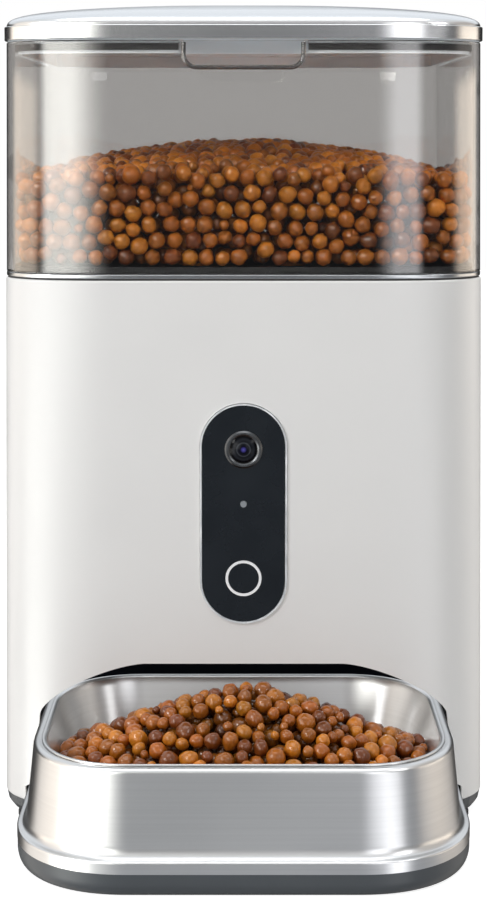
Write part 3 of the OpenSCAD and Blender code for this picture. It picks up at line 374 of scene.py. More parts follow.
def panel_gloss():
    """Deep navy black gloss with faint haze."""
    mat, tree, shader = new_material("panel_black", (0.004, 0.007, 0.010), 0.28)
    shader.inputs["Specular IOR Level"].default_value = 0.3
    haze = stretched_noise(tree, (60, 60, 60), 4.0)
    tree.links.new(two_tone(tree, haze, (0.003, 0.005, 0.008), (0.005, 0.008, 0.012)),
                   shader.inputs["Base Color"])
    tree.links.new(spread(tree, haze, 0.22, 0.32), shader.inputs["Roughness"])
    return mat


def lens_gloss(centre_z):
    """Coated lens: a violet pupil in black, with dark grey stop rings round it."""
    mat, tree, shader = new_material("lens_glass", (0.01, 0.01, 0.02), 0.16)
    shader.inputs["Specular IOR Level"].default_value = 0.06
    place = tree.nodes.new("ShaderNodeTexCoord")
    shift = tree.nodes.new("ShaderNodeMapping")
    shift.inputs["Location"].default_value = (0, 0, -centre_z * MM)
    shift.inputs["Scale"].default_value = (1, 0, 1)
    tree.links.new(place.outputs["Object"], shift.inputs["Vector"])
    length = tree.nodes.new("ShaderNodeVectorMath")
    length.operation = "LENGTH"
    tree.links.new(shift.outputs["Vector"], length.inputs[0])
    step = tree.nodes.new("ShaderNodeMapRange")
    step.inputs["From Max"].default_value = LENS_R * MM
    tree.links.new(length.outputs["Value"], step.inputs["Value"])
    ramp = tree.nodes.new("ShaderNodeValToRGB")
    stops = [(0.0, (0.10, 0.09, 0.40)), (0.14, (0.04, 0.035, 0.18)), (0.24, (0.003, 0.003, 0.008)),
             (0.42, (0.010, 0.011, 0.016)), (0.50, (0.05, 0.055, 0.065)), (0.57, (0.008, 0.009, 0.012)),
             (0.78, (0.022, 0.024, 0.03)), (0.92, (0.004, 0.004, 0.006))]
    while len(ramp.color_ramp.elements) < len(stops):
        ramp.color_ramp.elements.new(0.5)
    for element, (at, colour) in zip(ramp.color_ramp.elements, stops):
        element.position = at
        element.color = (*colour, 1)
    tree.links.new(step.outputs["Result"], ramp.inputs["Fac"])
    tree.links.new(ramp.outputs["Color"], shader.inputs["Base Color"])
    return mat


def clear_tank(name, density):
    """Clear smoky plastic that darkens with the thickness seen, with a faintly uneven gloss."""
    mat, tree, shader = new_material(name, (1.0, 1.0, 1.0), 0.03)
    shader.inputs["Transmission Weight"].default_value = 1.0
    shader.inputs["IOR"].default_value = 1.58
    haze = stretched_noise(tree, (25, 25, 25), 2.0)
    tree.links.new(spread(tree, haze, 0.0, 0.012), shader.inputs["Roughness"])
    shader.inputs["Coat Weight"].default_value = 0.5
    shader.inputs["Coat Roughness"].default_value = 0.02
    smoke = tree.nodes.new("ShaderNodeVolumeAbsorption")
    smoke.inputs["Color"].default_value = TANK_SMOKE
    smoke.inputs["Density"].default_value = density
    tree.links.new(smoke.outputs["Volume"], tree.nodes["Material Output"].inputs["Volume"])
    return mat


def kibble_food():
    """Baked kibble: each pellet's own brown, with painted shade on the deep ones, mottled and pitted, with an
    oily gloss.
    """
    mat, tree, shader = new_material("kibble", (0.25, 0.1, 0.03), 0.45)
    tint = tree.nodes.new("ShaderNodeAttribute")
    tint.attribute_name = "tint"
    cloud = stretched_noise(tree, (420, 420, 420), 4.0)
    mottle = tree.nodes.new("ShaderNodeMix")
    mottle.data_type = "RGBA"
    mottle.blend_type = "MULTIPLY"
    mottle.inputs["Factor"].default_value = 1.0
    tree.links.new(tint.outputs["Color"], mottle.inputs["A"])
    tree.links.new(two_tone(tree, cloud, (0.50, 0.44, 0.40), (1.40, 1.36, 1.25)), mottle.inputs["B"])
    tree.links.new(mottle.outputs["Result"], shader.inputs["Base Color"])
    tree.links.new(spread(tree, cloud, 0.25, 0.45), shader.inputs["Roughness"])
    shader.inputs["Coat Weight"].default_value = 0.55
    shader.inputs["Coat Roughness"].default_value = 0.1
    shader.inputs["Specular IOR Level"].default_value = 0.2
    pits = stretched_noise(tree, (900, 900, 900), 3.0)
    bump(tree, shader, pits, PIT_BUMP, PIT_DEPTH)
    return mat


panel_black = panel_gloss()
lens_glass = lens_gloss(PANEL_Z + LENS_UP)
tank_clear = clear_tank("tank_clear", TANK_DENSITY)
# The bead's denser smoke is painted shade: it darkens the notch's outline
bead_painted_shade = clear_tank("tank_edge_painted_shade", BEAD_SHADE_DENSITY)
kibble = kibble_food()

# Solids that stay as they are take these finishes. Gloss shows only the lid's and the hopper floor of them
finishes = {
    "base_plate": slate_plastic, "foot_pads": black_rubber, "base_screws": screw_steel,
    "bowl_alcove": alcove_plastic, "hopper_well": inner_plastic, "food_chute": inner_plastic,
    "hopper_gasket": black_rubber, "gear_case": inner_plastic, "case_screws": screw_steel,
    "idler_pin": screw_steel, "drive_motor": motor_metal, "camera_panel": panel_black,
    "panel_trim": trim_metal, "lens_bezel": bezel_metal, "camera_lens": lens_glass,
    "lens_barrel": dark_plastic, "camera_board": board_green, "status_light": light_pipe,
    "button_ring": ring_white, "control_board": board_green, "main_board": board_green,
    "board_screws": screw_steel, "power_inlet": screw_steel, "speaker": dark_plastic,
    "feed_button": panel_black, "motor_shaft": screw_steel, "motor_pinion": pinion_brass,
    "idler_gear": gear_plastic, "output_gear": gear_plastic, "rotor_hub": rotor_plastic,
    "rotor_blades": blade_rubber, "stirrer": rotor_plastic, "hopper_floor": floor_plastic,
    "lid_liner": liner_painted_light, "lid_seal": seal_rubber,
}
for name, material in finishes.items():
    for place in nodes[name].material_slots:
        place.material = material
    nodes[name].visible_glossy = name.startswith(("lid", "hopper_floor"))

# Body shell with its arch, panel seat and inlet slot
top_edge, foot_edge, shell_round, panel_gap = 0.9, 0.5, 0.7, 0.4
arch_depth, below_foot, far_front, panel_back, inlet_reach = 27, -20, -80, -40, (110, 140)
shell_profile = [(skin(SHELL_Z0) - foot_edge, SHELL_Z0), (skin(SHELL_Z0), SHELL_Z0 + foot_edge)]
shell_profile += arc(-top_edge, SHELL_Z1 - top_edge, top_edge, 0, 90)
shell_profile += [(-BODY_WALL, SHELL_Z1), (skin(SHELL_Z0) - BODY_WALL, SHELL_Z0)]
body_shell = mesh_object("body_shell_skin", *loft_data([body_ring(o, z) for o, z in shell_profile], True))
cut(body_shell, prism("arch_cut", arch_outline(below_foot), far_front, FRONT_Y + arch_depth))
panel_cut = [(x, z + PANEL_Z) for x, z in pill_outline(PANEL_W + panel_gap, PANEL_H + panel_gap)]
cut(body_shell, prism("panel_cut", panel_cut, far_front, panel_back))
inlet_cut = [(z, x + INLET_Z) for x, z in pill_outline(INLET_H, INLET_W)]
cut(body_shell, prism("inlet_cut", inlet_cut, *inlet_reach))
round_edges(body_shell, shell_round)
piece(body_shell, "housing", white_plastic, "body_shell")
body_shell.visible_glossy = False

# Clear tank with its ledge and finger notch, the bead round the notch, darkened by thicker smoke as painted
# shade, and the steel ring at the foot
edge, ring_edge, ring_gap, tank_round = 0.8, 0.4, 0.2, 0.5
notch_over, notch_reach = 5, (-70, -45)
ring_z1 = TANK_Z0 + RING_H
ring_in = tank_out(TANK_Z0) - RING_T
tank_profile = [(ring_in - ring_gap, TANK_Z0), (ring_in - ring_gap, ring_z1), (tank_out(ring_z1), ring_z1)]
tank_profile += arc(tank_out(TANK_Z1) - edge, TANK_Z1 - edge, edge, 0, 90)
tank_profile += arc(tank_out(TANK_Z1) - TANK_WALL + edge, TANK_Z1 - edge, edge, 90, 180)
ledge_z = TANK_Z0 + LEDGE_T
ledge_out = tank_out(ledge_z) - TANK_WALL
tank_profile += [(ledge_out, ledge_z), (ledge_out - LEDGE_W, ledge_z), (ledge_out - LEDGE_W, TANK_Z0)]
tank = mesh_object("hopper_tank_clear", *loft_data([body_ring(o, z) for o, z in tank_profile], True))
notch = [(NOTCH_W / 2, TANK_Z1 + notch_over)]
for side in (1, -1):
    for i in range(TURN_STEPS + 1):
        t = math.pi / 2 * (i / TURN_STEPS if side == 1 else 1 - i / TURN_STEPS)
        notch.append((side * (NOTCH_W / 2 - NOTCH_R + NOTCH_R * math.cos(t)),
                      TANK_Z1 - NOTCH_H + NOTCH_R * (1 - math.sin(t))))
notch.append((-NOTCH_W / 2, TANK_Z1 + notch_over))
cut(tank, prism("notch_cut", notch, *notch_reach))
round_edges(tank, tank_round)
piece(tank, "hopper", tank_clear, "hopper_tank")
bead_y = FRONT_Y - tank_out(TANK_Z1 - NOTCH_H)
turns = [math.tau * k / TURN_STEPS for k in range(TURN_STEPS)]
tube = []
for i, (x, z) in enumerate(notch):
    before, after = notch[max(i - 1, 0)], notch[min(i + 1, len(notch) - 1)]
    along = math.atan2(after[1] - before[1], after[0] - before[0])
    low_z = min(z, TANK_Z1 - BEAD_R)
    tube.append([(x - BEAD_R * math.cos(t) * math.sin(along), bead_y + BEAD_R * math.sin(t),
                  low_z + BEAD_R * math.cos(t) * math.cos(along)) for t in turns])
notch_bead = mesh_object("notch_bead_clear", *loft_data(tube, False))
piece(notch_bead, "hopper", bead_painted_shade)
ring_profile = [(ring_in, TANK_Z0)]
ring_profile += arc(tank_out(TANK_Z0) - ring_edge, TANK_Z0 + ring_edge, ring_edge, -90, 0, 4)
ring_profile += arc(tank_out(ring_z1) - ring_edge, ring_z1 - ring_edge, ring_edge, 0, 90, 4)
ring_profile += [(ring_in, ring_z1)]
foot_ring = mesh_object("hopper_ring_steel", *loft_data([body_ring(o, z) for o, z in ring_profile], True))
piece(foot_ring, "hopper", steel_ring, "hopper_ring")

# Lid: band with a bead and a domed top
lid_out = tank_out(TANK_Z1) + LID_OVER


def dome_ring(draw, shrink, z):
    """A ring of the dome, shrunk to the middle and turned from the lid's plan into an ellipse."""
    inset = lid_out - LID_BEAD
    rise = z + LID_DOME * (1 - draw ** DOME_POWER) ** DOME_SHOULDER
    draw *= shrink
    w, d = draw * (BODY_W + 2 * inset), draw * (BODY_D + 2 * inset)
    rx, ry = draw * (BODY_CORNER[0] + inset), draw * (BODY_CORNER[1] + inset)
    turn = 1 - draw
    corner = (rx + (w / 2 - rx) * turn, ry + (d / 2 - ry) * turn, BODY_CORNER[2])
    return [(x, y + BODY_Y, rise) for x, y in soft_plan(w, d, corner, 0)]


band_edge, band_foot, top_tilt = 0.4, 0.3, 0.8
band_groove = [(0.5, 0.15), (0.6, 0.25), (0.75, 0.2)]
dome_steps, dome_spacing = 40, 2.4
band_profile = [(lid_out - LID_SKIN, LID_Z1 - 2 * LID_SKIN), (lid_out - LID_SKIN, LID_Z0)]
band_profile += arc(lid_out - band_foot, LID_Z0 + band_foot, band_foot, -90, 0, 3)
band_profile += arc(lid_out - band_edge, LID_Z1 - band_edge, band_edge, 0, 90)
band_profile += [(lid_out - inward, LID_Z1 - down) for inward, down in band_groove]
dome_draws = [1 - (i / dome_steps) ** dome_spacing for i in range(dome_steps)]
lid_shrink = 1 - 2 * LID_SKIN / BODY_W
lid_rings = [dome_ring(draw, lid_shrink, LID_Z1 - LID_SKIN) for draw in reversed(dome_draws)]
lid_rings += [body_ring(o, z) for o, z in band_profile]
lid_rings += [dome_ring(draw, 1, LID_Z1) for draw in dome_draws]
lid = mesh_object("lid_cap_steel", *loft_data(lid_rings, False))
piece(lid, "lid", steel_wall, "lid_cap")
lid.data.materials.append(steel_top)
for face in lid.data.polygons:
    if face.normal.z > top_tilt:
        face.material_index = 1

# Bowl: skirt with rim and flange, liner and dark base
neck, rim, sheet = 2.4, 2.0, 1.0
flare_w, flare_h, flare_in, flare_up = 2.3, 4.4, 0.2, 0.1
flange_edge, rim_drop = 0.8, 0.2
skirt_profile = [(FLANGE_OUT, BOWL_BASE_H)]
skirt_profile += arc(FLANGE_OUT - flange_edge, FLANGE_Z - flange_edge, flange_edge, 0, 90)
for i in range(TURN_STEPS + 1):
    t = math.pi / 2 * (1 - i / TURN_STEPS)
    skirt_profile.append((SKIRT_FLARE - flare_in + flare_w * (1 - math.cos(t)),
                          FLANGE_Z + flare_up + flare_h * (1 - math.sin(t))))
skirt_profile += arc(-rim, BOWL_H - rim, rim, 0, 90, 8)
skirt_profile += [(-RIM_W, BOWL_H - rim_drop), (-RIM_W, BOWL_H - rim_drop - sheet), (-rim, BOWL_H - sheet),
                  (-sheet, BOWL_H - rim), (SKIRT_FLARE - sheet, FLANGE_Z + neck),
                  (FLANGE_OUT - sheet, FLANGE_Z - flange_edge - sheet), (FLANGE_OUT - sheet, BOWL_BASE_H)]
skirt = mesh_object("bowl_skirt_steel", *loft_data([bowl_ring(o, z) for o, z in skirt_profile], True))
piece(skirt, "bowl", steel_bowl, "bowl_skirt")

fillet, slope, shoulder_drop = 5.0, 8.0, 3
rim_gap, lip_gap, lip_w, lip_r, lip_run, lip_side = 0.2, 0.05, 0.8, 0.3, 0.5, 0.45
lip_in, lip_fall = 0.1, 0.2
wall_in = RIM_W + rim_gap + sheet
shoulder_z, lip_z = BOWL_H - shoulder_drop, BOWL_H + lip_gap
liner_profile = arc(-wall_in - slope + sheet - fillet, BOWL_FLOOR - sheet + fillet, fillet, -90, 0, 6)
liner_profile += [(sheet - wall_in, shoulder_z), (-RIM_W - rim_gap, lip_z), (lip_w - RIM_W, lip_z)]
liner_profile += arc(lip_w - lip_r - RIM_W, lip_z + lip_r, lip_r, 0, 90, 4)
liner_profile += [(-RIM_W, lip_z + 2 * lip_r), (-RIM_W - lip_run, lip_z + lip_side),
                  (lip_in - wall_in, lip_z - lip_fall), (-wall_in, shoulder_z)]
liner_profile += arc(-wall_in - slope - fillet, BOWL_FLOOR + fillet, fillet, 0, -90, 6)
liner = mesh_object("bowl_liner_steel", *loft_data([bowl_ring(o, z) for o, z in liner_profile], False))
piece(liner, "bowl", steel_bowl, "bowl_liner")

base_gap, base_wall, base_floor, turn_w, turn_h = 0.1, 4.4, 2.5, 2.5, 5.0
base_top = FLANGE_OUT - base_gap
base_profile = [(base_top - turn_w * (1 - math.sin(t)), turn_h * (1 - math.cos(t)))
                for t in (math.radians(angle) for angle in range(0, 91, 10))]
base_profile += [(base_top, BOWL_BASE_H), (base_top - base_wall, BOWL_BASE_H),
                 (base_top - base_wall, base_floor)]
bowl_base = mesh_object("bowl_base_slate", *loft_data([bowl_ring(o, z) for o, z in base_profile], False))
piece(bowl_base, "bowl", slate_plastic, "bowl_base")


# Kibble

# Pellets: radii in millimetres with their spread, mesh levels, lumps and how they ease apart
PELLET, HOPPER_SPREAD = 3.3, (0.84, 1.12)
BOWL_PELLET, BOWL_SPREAD, CRUMB = 3.6, (0.72, 1.14), 0.6
FINE, COARSE, SHAPES, FULL_TURN, NOISE_SPAN = 3, 2, 10, 6.28, 50
SQUASH = ((0.94, 1.06), (0.92, 1.03), (0.86, 1.0))
BIG_LUMP, BIG_PITCH, SMALL_LUMP, SMALL_PITCH = 0.12, 1.5, 0.06, 3.7
EASE_ROUNDS, TOUCH, PUSH, SAME_PLACE = 22, 1.01, 0.45, 1e-6
WALL_GAP, FLOOR_GAP, SUNK = 0.4, 0.3, 0.4

# Browns with their shares, and painted shade: a darker tone for pellets further under the top than the
# surface depth
FOOD_TONES = [((0.50, 0.176, 0.015), 0.34), ((0.35, 0.107, 0.010), 0.50), ((0.19, 0.051, 0.009), 0.16)]
TONE_SPREAD, HUE_SPREAD = (0.82, 1.18), (0.95, 1.05)
DEEP_PAINTED_SHADE, SURFACE = 0.45, 5.5

# Tops of the food in the hopper and in the bowl
HOPPER_SEED, BOWL_SEED = 11, 23
FILL_Z, FILL_SAG, SAG_HALF = 260.5, 2.5, 80
CROWN_H, CROWN_HALF, CROWN_Y, CROWN_RUN = 9.0, 88, -50, 90
FILL_LUMP, FILL_LUMP_SIZE, FILL_MIDDLE = 2.2, 28, 240
HEAP_TOP, HEAP_SLOPE, HEAP_Y, HEAP_TIP, HEAP_DEPTH = 59.5, 0.39, -63.0, 9, 18
HEAP_BACK, HEAP_FRONT, HEAP_LUMP, HEAP_LUMP_SIZE = 2.1, 1.4, 1.5, 20
tank_room = tank_out(FILL_MIDDLE) - TANK_WALL - WALL_GAP


def inside_plan(x, y, w, d, corner, out):
    """The nearest point to x, y inside a soft plan grown by out."""
    hx, hy = w / 2 + out, d / 2 + out
    rx, ry, power = corner[0] + out, corner[1] + out, corner[2]
    ax, ay = min(abs(x), hx), min(abs(y), hy)
    u, v = (ax - hx + rx) / rx, (ay - hy + ry) / ry
    if u > 0 and v > 0:
        reach = (u ** power + v ** power) ** (1 / power)
        if reach > 1:
            ax, ay = hx - rx + rx * u / reach, hy - ry + ry * v / reach
    return math.copysign(ax, x), math.copysign(ay, y)


def ease_apart(points, radii, keep):
    """Pushes overlapping pellets apart, and keep() puts each back into its place."""
    count = len(points)
    for _ in range(EASE_ROUNDS):
        tree = kdtree.KDTree(count)
        for i, p in enumerate(points):
            tree.insert(p, i)
        tree.balance()
        moves = [Vector((0, 0, 0)) for _ in points]
        for i, p in enumerate(points):
            for other, j, gap in tree.find_range(p, radii[i] + max(radii)):
                if j <= i:
                    continue
                overlap = (radii[i] + radii[j]) * TOUCH - gap
                if overlap > 0:
                    way = (p - other).normalized() if gap > SAME_PLACE else Vector((1, 0, 0))
                    moves[i] += way * overlap * PUSH
                    moves[j] -= way * overlap * PUSH
        for i in range(count):
            points[i] = keep(points[i] + moves[i], radii[i])


def pellet_shape(rng, level):
    """One unit pellet: a slightly flattened, lumpy ball. Returns points and triangles."""
    ball = bmesh.new()
    bmesh.ops.create_icosphere(ball, subdivisions=level, radius=1.0)
    offset = Vector([rng.uniform(0, NOISE_SPAN) for _ in range(3)])
    squash = [rng.uniform(*span) for span in SQUASH]
    points = []
    for v in ball.verts:
        lump = 1 + BIG_LUMP * noise.noise(v.co * BIG_PITCH + offset)
        lump += SMALL_LUMP * noise.noise(v.co * SMALL_PITCH + offset)
        points.append([v.co[k] * lump * squash[k] for k in range(3)])
    faces = [[v.index for v in f.verts] for f in ball.faces]
    ball.free()
    return np.array(points), np.array(faces)


def food_tone(rng):
    """One pellet's brown, drawn from the tones by their shares."""
    pick = rng.random()
    for tone, share in FOOD_TONES:
        if pick < share:
            break
        pick -= share
    level = rng.uniform(*TONE_SPREAD)
    return [c * level * rng.uniform(*HUE_SPREAD) for c in tone]


def pellets(name, points, radii, levels, rng, body, top):
    """Pellets in one piece, each with its own turn, shape and brown, darkened well under the heap's top as
    painted shade.
    """
    shapes = {level: [pellet_shape(rng, level) for _ in range(SHAPES)] for level in set(levels)}
    verts, faces, tones, start = [], [], [], 0
    for p, r, level in zip(points, radii, levels):
        shape, tris = rng.choice(shapes[level])
        turn = np.array(Euler([rng.uniform(0, FULL_TURN) for _ in range(3)]).to_matrix())
        verts.append((shape @ turn.T) * r + np.array(p))
        faces.append(tris + start)
        # Pellets well under the top get painted shade: their brown is darkened to stand in for the shade
        # between them
        depth = 1.0 if level == FINE or p.z > top(p.x, p.y) - SURFACE else DEEP_PAINTED_SHADE
        tones.append(np.tile([*(c * depth for c in food_tone(rng)), 1.0], (len(shape), 1)))
        start += len(shape)
    mesh = bpy.data.meshes.new(name)
    verts = np.concatenate(verts) * MM
    faces = np.concatenate(faces)
    mesh.vertices.add(len(verts))
    mesh.vertices.foreach_set("co", verts.ravel())
    mesh.loops.add(faces.size)
    mesh.loops.foreach_set("vertex_index", faces.ravel())
    mesh.polygons.add(len(faces))
    mesh.polygons.foreach_set("loop_start", np.arange(0, faces.size, 3))
    mesh.update()
    mesh.validate()
    mesh.shade_smooth()
    tint = mesh.color_attributes.new("tint", "FLOAT_COLOR", "POINT")
    tint.data.foreach_set("color", np.concatenate(tones).ravel())
    mesh.materials.append(kibble)
    heap = bpy.data.objects.new(name, mesh)
    scene.collection.objects.link(heap)
    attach(heap, body)


def hopper_top(x, y):
    """Height of the food in the hopper: it sags to the sides and has a crown towards the back."""
    back = min(max((y - CROWN_Y) / CROWN_RUN, 0), 1)
    back = back * back * (3 - 2 * back)
    lumps = FILL_LUMP * noise.noise(Vector((x / FILL_LUMP_SIZE, y / FILL_LUMP_SIZE, 4)))
    crown = CROWN_H * back * (1 - (x / CROWN_HALF) ** 2)
    return FILL_Z - FILL_SAG * (x / SAG_HALF) ** 2 + crown + lumps


def keep_in_hopper(p, r):
    """Puts a pellet back between the tank's walls, floor and the food's top."""
    x, y = inside_plan(p.x, p.y - BODY_Y, BODY_W, BODY_D, BODY_CORNER, tank_room - r)
    y += BODY_Y
    z = max(p.z, FLOOR_TOP + r + FLOOR_GAP)
    return Vector((x, y, min(z, hopper_top(x, y) - r * SUNK)))


def hopper_food():
    """Three layers of pellets along the walls and a crust of two over the middle, in three pieces."""
    rng = random.Random(HOPPER_SEED)
    points, radii, parts = [], [], []
    crumbs, pitch, row, depth = 0.06, 7.0, 6.1, 6.0
    layers, ranks, crust, half = 3, 8, 2, 14
    stray_along, stray_in, stray_up, stray_crust = 1.9, 0.9, 1.6, 1.5
    cover, lap, near_enough = 0.3, 2, 0.01

    def add(x, y, z, part):
        """Adds one pellet of a drawn size."""
        r = PELLET * rng.uniform(*HOPPER_SPREAD)
        if rng.random() < crumbs:
            r *= CRUMB
        points.append(keep_in_hopper(Vector((x, y, z)), r))
        radii.append(r)
        parts.append(part)

    for layer in range(layers):
        outline = soft_plan(BODY_W, BODY_D, BODY_CORNER, tank_room - PELLET - layer * depth)
        for rank in range(ranks):
            walked, step = 0.0, rng.uniform(0, pitch)
            z = FLOOR_TOP + PELLET + FLOOR_GAP + rank * row
            for (x0, y0), (x1, y1) in zip(outline, outline[1:] + outline[:1]):
                length = math.hypot(x1 - x0, y1 - y0)
                while length > 0 and step <= walked + length:
                    t = (step - walked) / length
                    x = x0 + (x1 - x0) * t + rng.gauss(0, stray_along)
                    y = y0 + (y1 - y0) * t + rng.gauss(0, stray_in) + BODY_Y
                    high = z + rng.gauss(0, stray_up)
                    if high < hopper_top(x, y) - PELLET * cover:
                        add(x, y, high, "core" if layer else "wall")
                    step += pitch
                walked += length
    inner = tank_room - PELLET - layers * depth + lap
    for rank in range(crust):
        for i in range(-half, half + 1):
            for j in range(-half, half + 1):
                x = (i + 0.5 * (j % 2)) * pitch + rng.gauss(0, stray_crust)
                y = j * row + rng.gauss(0, stray_crust)
                near = inside_plan(x, y, BODY_W, BODY_D, BODY_CORNER, inner)
                if abs(near[0] - x) + abs(near[1] - y) < near_enough:
                    high = hopper_top(x, y + BODY_Y) - PELLET * SUNK - rank * row
                    add(x, y + BODY_Y, high, "core" if rank else "top")
    ease_apart(points, radii, keep_in_hopper)
    for part, level in (("wall", FINE), ("top", FINE), ("core", COARSE)):
        chosen = [i for i, name in enumerate(parts) if name == part]
        pellets("hopper_kibble_" + part, [points[i] for i in chosen], [radii[i] for i in chosen],
                [level] * len(chosen), rng, "hopper", hopper_top)


def bowl_top(x, y):
    """Height of the food in the bowl: a cone with a round tip, steeper towards the back."""
    along = (y - HEAP_Y) * (HEAP_BACK if y > HEAP_Y else HEAP_FRONT)
    lumps = HEAP_LUMP * noise.noise(Vector((x / HEAP_LUMP_SIZE, y / HEAP_LUMP_SIZE, 9)))
    return HEAP_TOP - HEAP_SLOPE * (math.hypot(x, along, HEAP_TIP) - HEAP_TIP) + lumps


def bowl_room(z):
    """How far the liner's inside stands in from the rim's plan at a height."""
    rise = min(max((z - BOWL_FLOOR - fillet) / (shoulder_z - BOWL_FLOOR - fillet), 0), 1)
    return -wall_in - slope * (1 - rise) - WALL_GAP


def keep_in_bowl(p, r):
    """Puts a pellet back between the liner and the heap's top."""
    top = bowl_top(p.x, p.y)
    z = min(max(p.z, top - HEAP_DEPTH, BOWL_FLOOR + r), top - r * SUNK)
    x, y = inside_plan(p.x, p.y - BOWL_Y, BOWL_W, BOWL_D, BOWL_CORNER, bowl_room(z) - r)
    return Vector((x, y + BOWL_Y, z))


def bowl_food():
    """Three layers of pellets under the heap's surface."""
    rng = random.Random(BOWL_SEED)
    points, radii, levels = [], [], []
    crumbs, pitch, row, stray = 0.14, 6.9, 6.1, 1.8
    ranks, half_x, half_y, near_enough = 3, 12, 10, 2
    for rank in range(ranks):
        for i in range(-half_x, half_x + 1):
            for j in range(-half_y, half_y + 1):
                x = (i + 0.5 * ((j + rank) % 2)) * pitch + rng.gauss(0, stray)
                y = j * row + rng.gauss(0, stray)
                r = BOWL_PELLET * rng.uniform(*BOWL_SPREAD)
                if rng.random() < crumbs:
                    r *= CRUMB
                z = bowl_top(x, y + BOWL_Y) - r * 0.5 - rank * row
                near = inside_plan(x, y, BOWL_W, BOWL_D, BOWL_CORNER, bowl_room(z) - r)
                if abs(near[0] - x) + abs(near[1] - y) < near_enough and z > BOWL_FLOOR + r:
                    points.append(keep_in_bowl(Vector((x, y + BOWL_Y, z)), r))
                    radii.append(r)
                    levels.append(COARSE if rank else FINE)
    ease_apart(points, radii, keep_in_bowl)
    pellets("bowl_kibble", points, radii, levels, rng, "bowl", bowl_top)


hopper_food()
bowl_food()


# Floor, light and camera

STAGE_COLOUR, STAGE_GLOW = (0.55, 0.55, 0.55), (0.78, 0.78, 0.78, 1)


def stage_floor():
    """Pale floor, white where it is lit, to the camera and through the tank. It keeps the object's shadow."""
    mat, tree, shader = new_material("stage_white", STAGE_COLOUR, 0.9)
    path = tree.nodes.new("ShaderNodeLightPath")
    glow = tree.nodes.new("ShaderNodeEmission")
    seen = calculate(tree, "MAXIMUM", path.outputs["Is Camera Ray"], path.outputs["Is Transmission Ray"])
    tree.links.new(seen, glow.inputs["Strength"])
    glow.inputs["Color"].default_value = STAGE_GLOW
    both = tree.nodes.new("ShaderNodeAddShader")
    tree.links.new(shader.outputs["BSDF"], both.inputs[0])
    tree.links.new(glow.outputs["Emission"], both.inputs[1])
    tree.links.new(both.outputs["Shader"], tree.nodes["Material Output"].inputs["Surface"])
    half, drop = 3000, -0.2
    corners = [(-half, -half, drop), (half, -half, drop), (half, half, drop), (-half, half, drop)]
    floor = mesh_object("stage_floor", corners, [(0, 1, 2, 3)])
    floor.data.materials.append(mat)
    floor.visible_glossy = False


def step_between(tree, value, low, high, start=0.0, stop=1.0):
    """A soft step of a value from start, at low, to stop, at high."""
    step = tree.nodes.new("ShaderNodeMapRange")
    step.interpolation_type = "SMOOTHSTEP"
    step.inputs["From Min"].default_value = low
    step.inputs["From Max"].default_value = high
    step.inputs["To Min"].default_value = start
    step.inputs["To Max"].default_value = stop
    tree.links.new(value, step.inputs["Value"])
    return step.outputs["Result"]


def calculate(tree, operation, first, second=None):
    """A sum or other operation of one or two sockets."""
    step = tree.nodes.new("ShaderNodeMath")
    step.operation = operation
    tree.links.new(first, step.inputs[0])
    if second is not None:
        tree.links.new(second, step.inputs[1])
    return step.outputs["Value"]


def mix_colour(tree, factor, first, second):
    """Mixes two colours; each is a colour or a socket."""
    step = tree.nodes.new("ShaderNodeMix")
    step.data_type = "RGBA"
    tree.links.new(factor, step.inputs["Factor"])
    for name, colour in (("A", first), ("B", second)):
        if isinstance(colour, tuple):
            step.inputs[name].default_value = (*colour, 1)
        else:
            tree.links.new(colour, step.inputs[name])
    return step.outputs["Result"]


def between(tree, value, first, second):
    """One between two soft edges of a value, nought outside; each edge runs from nought to one."""
    return calculate(tree, "MULTIPLY", step_between(tree, value, *first), step_between(tree, value, *second))


def degrees(*edges):
    """Edges given in degrees, in radians."""
    return tuple(math.radians(edge) for edge in edges)


def around(tree, azimuth, edges):
    """One between two soft edges in degrees, nought outside."""
    first, second = edges
    return between(tree, azimuth, degrees(*first), degrees(*second))


# Colours of the room that gloss and glass see, and of the plain light on everything else
DIFFUSE_LEVEL = (0.40, 0.40, 0.40)
FRONT_DARK = (0.05, 0.052, 0.057)
FRONT_LOW = (0.43, 0.45, 0.48)
FRONT_MID = (0.08, 0.083, 0.09)
FRONT_HIGH = (0.80, 0.80, 0.80)
SIDE_LEFT = (1.35, 1.27, 1.18)
SIDE_RIGHT = (0.70, 0.66, 0.62)
SIDE_BOX = (3.2, 2.8, 2.35)
BACK_DARK = (0.03, 0.03, 0.03)
SKY = (1.08, 1.13, 1.18)
LEFT_STRIP = (6.2, 6.2, 5.9)
RIGHT_STRIP = (2.8, 2.82, 2.9)
BACKDROP = (0.80, 0.80, 0.80)
GLASS_TOP = (24.0, 24.0, 23.0)
GLASS_LOW = (0.2, 0.2, 0.2)
GLASS_HIGH = (11.5, 11.5, 11.5)

# Soft edges in that room: heights as the Z of a ray's direction
FOOT_LINE, EYE_LINE, HEAD_LINE = (-0.06, -0.13), (0.01, 0.07), (0.15, 0.35)
BACK_LINE, SKY_LINE, STRIP_FOOT = (0.18, 0.34), (0.6, 0.9), (-0.05, -0.14)
BOX_LEVEL, STRIP_LEVEL = ((0.048, 0.036), (-0.1, -0.06)), ((-0.6, -0.35), (0.5, 0.25))
SPOT_LEVEL, LIT_LEVEL = ((0.30, 0.38), (0.74, 0.66)), (-0.15, 0.6)

# Soft edges round the object: degrees from the front, to the right, and leans below the foot line. The blend
# of the two sides is in radians
SIDE_EDGES, SIDE_TURN, SIDE_LEAN = ((56, 74), (126, 107)), -5, 20
LEFT_EDGES, LEFT_LEAN = ((-57, -45), (-4, -28)), 27
RIGHT_EDGES, RIGHT_LEAN = ((4, 15), (33, 24)), 18
SPOT_EDGES = ((-65, -52), (5, -8))
BACK_EDGE, BEHIND_EDGE, SIDE_BLEND = (110, 130), (100, 140), (-0.2, 0.2)

# Counts of surfaces passed: rays that the tank's front wall sends back pass two, deeper ones three or more
DEEP_EDGE = (2.4, 2.6)


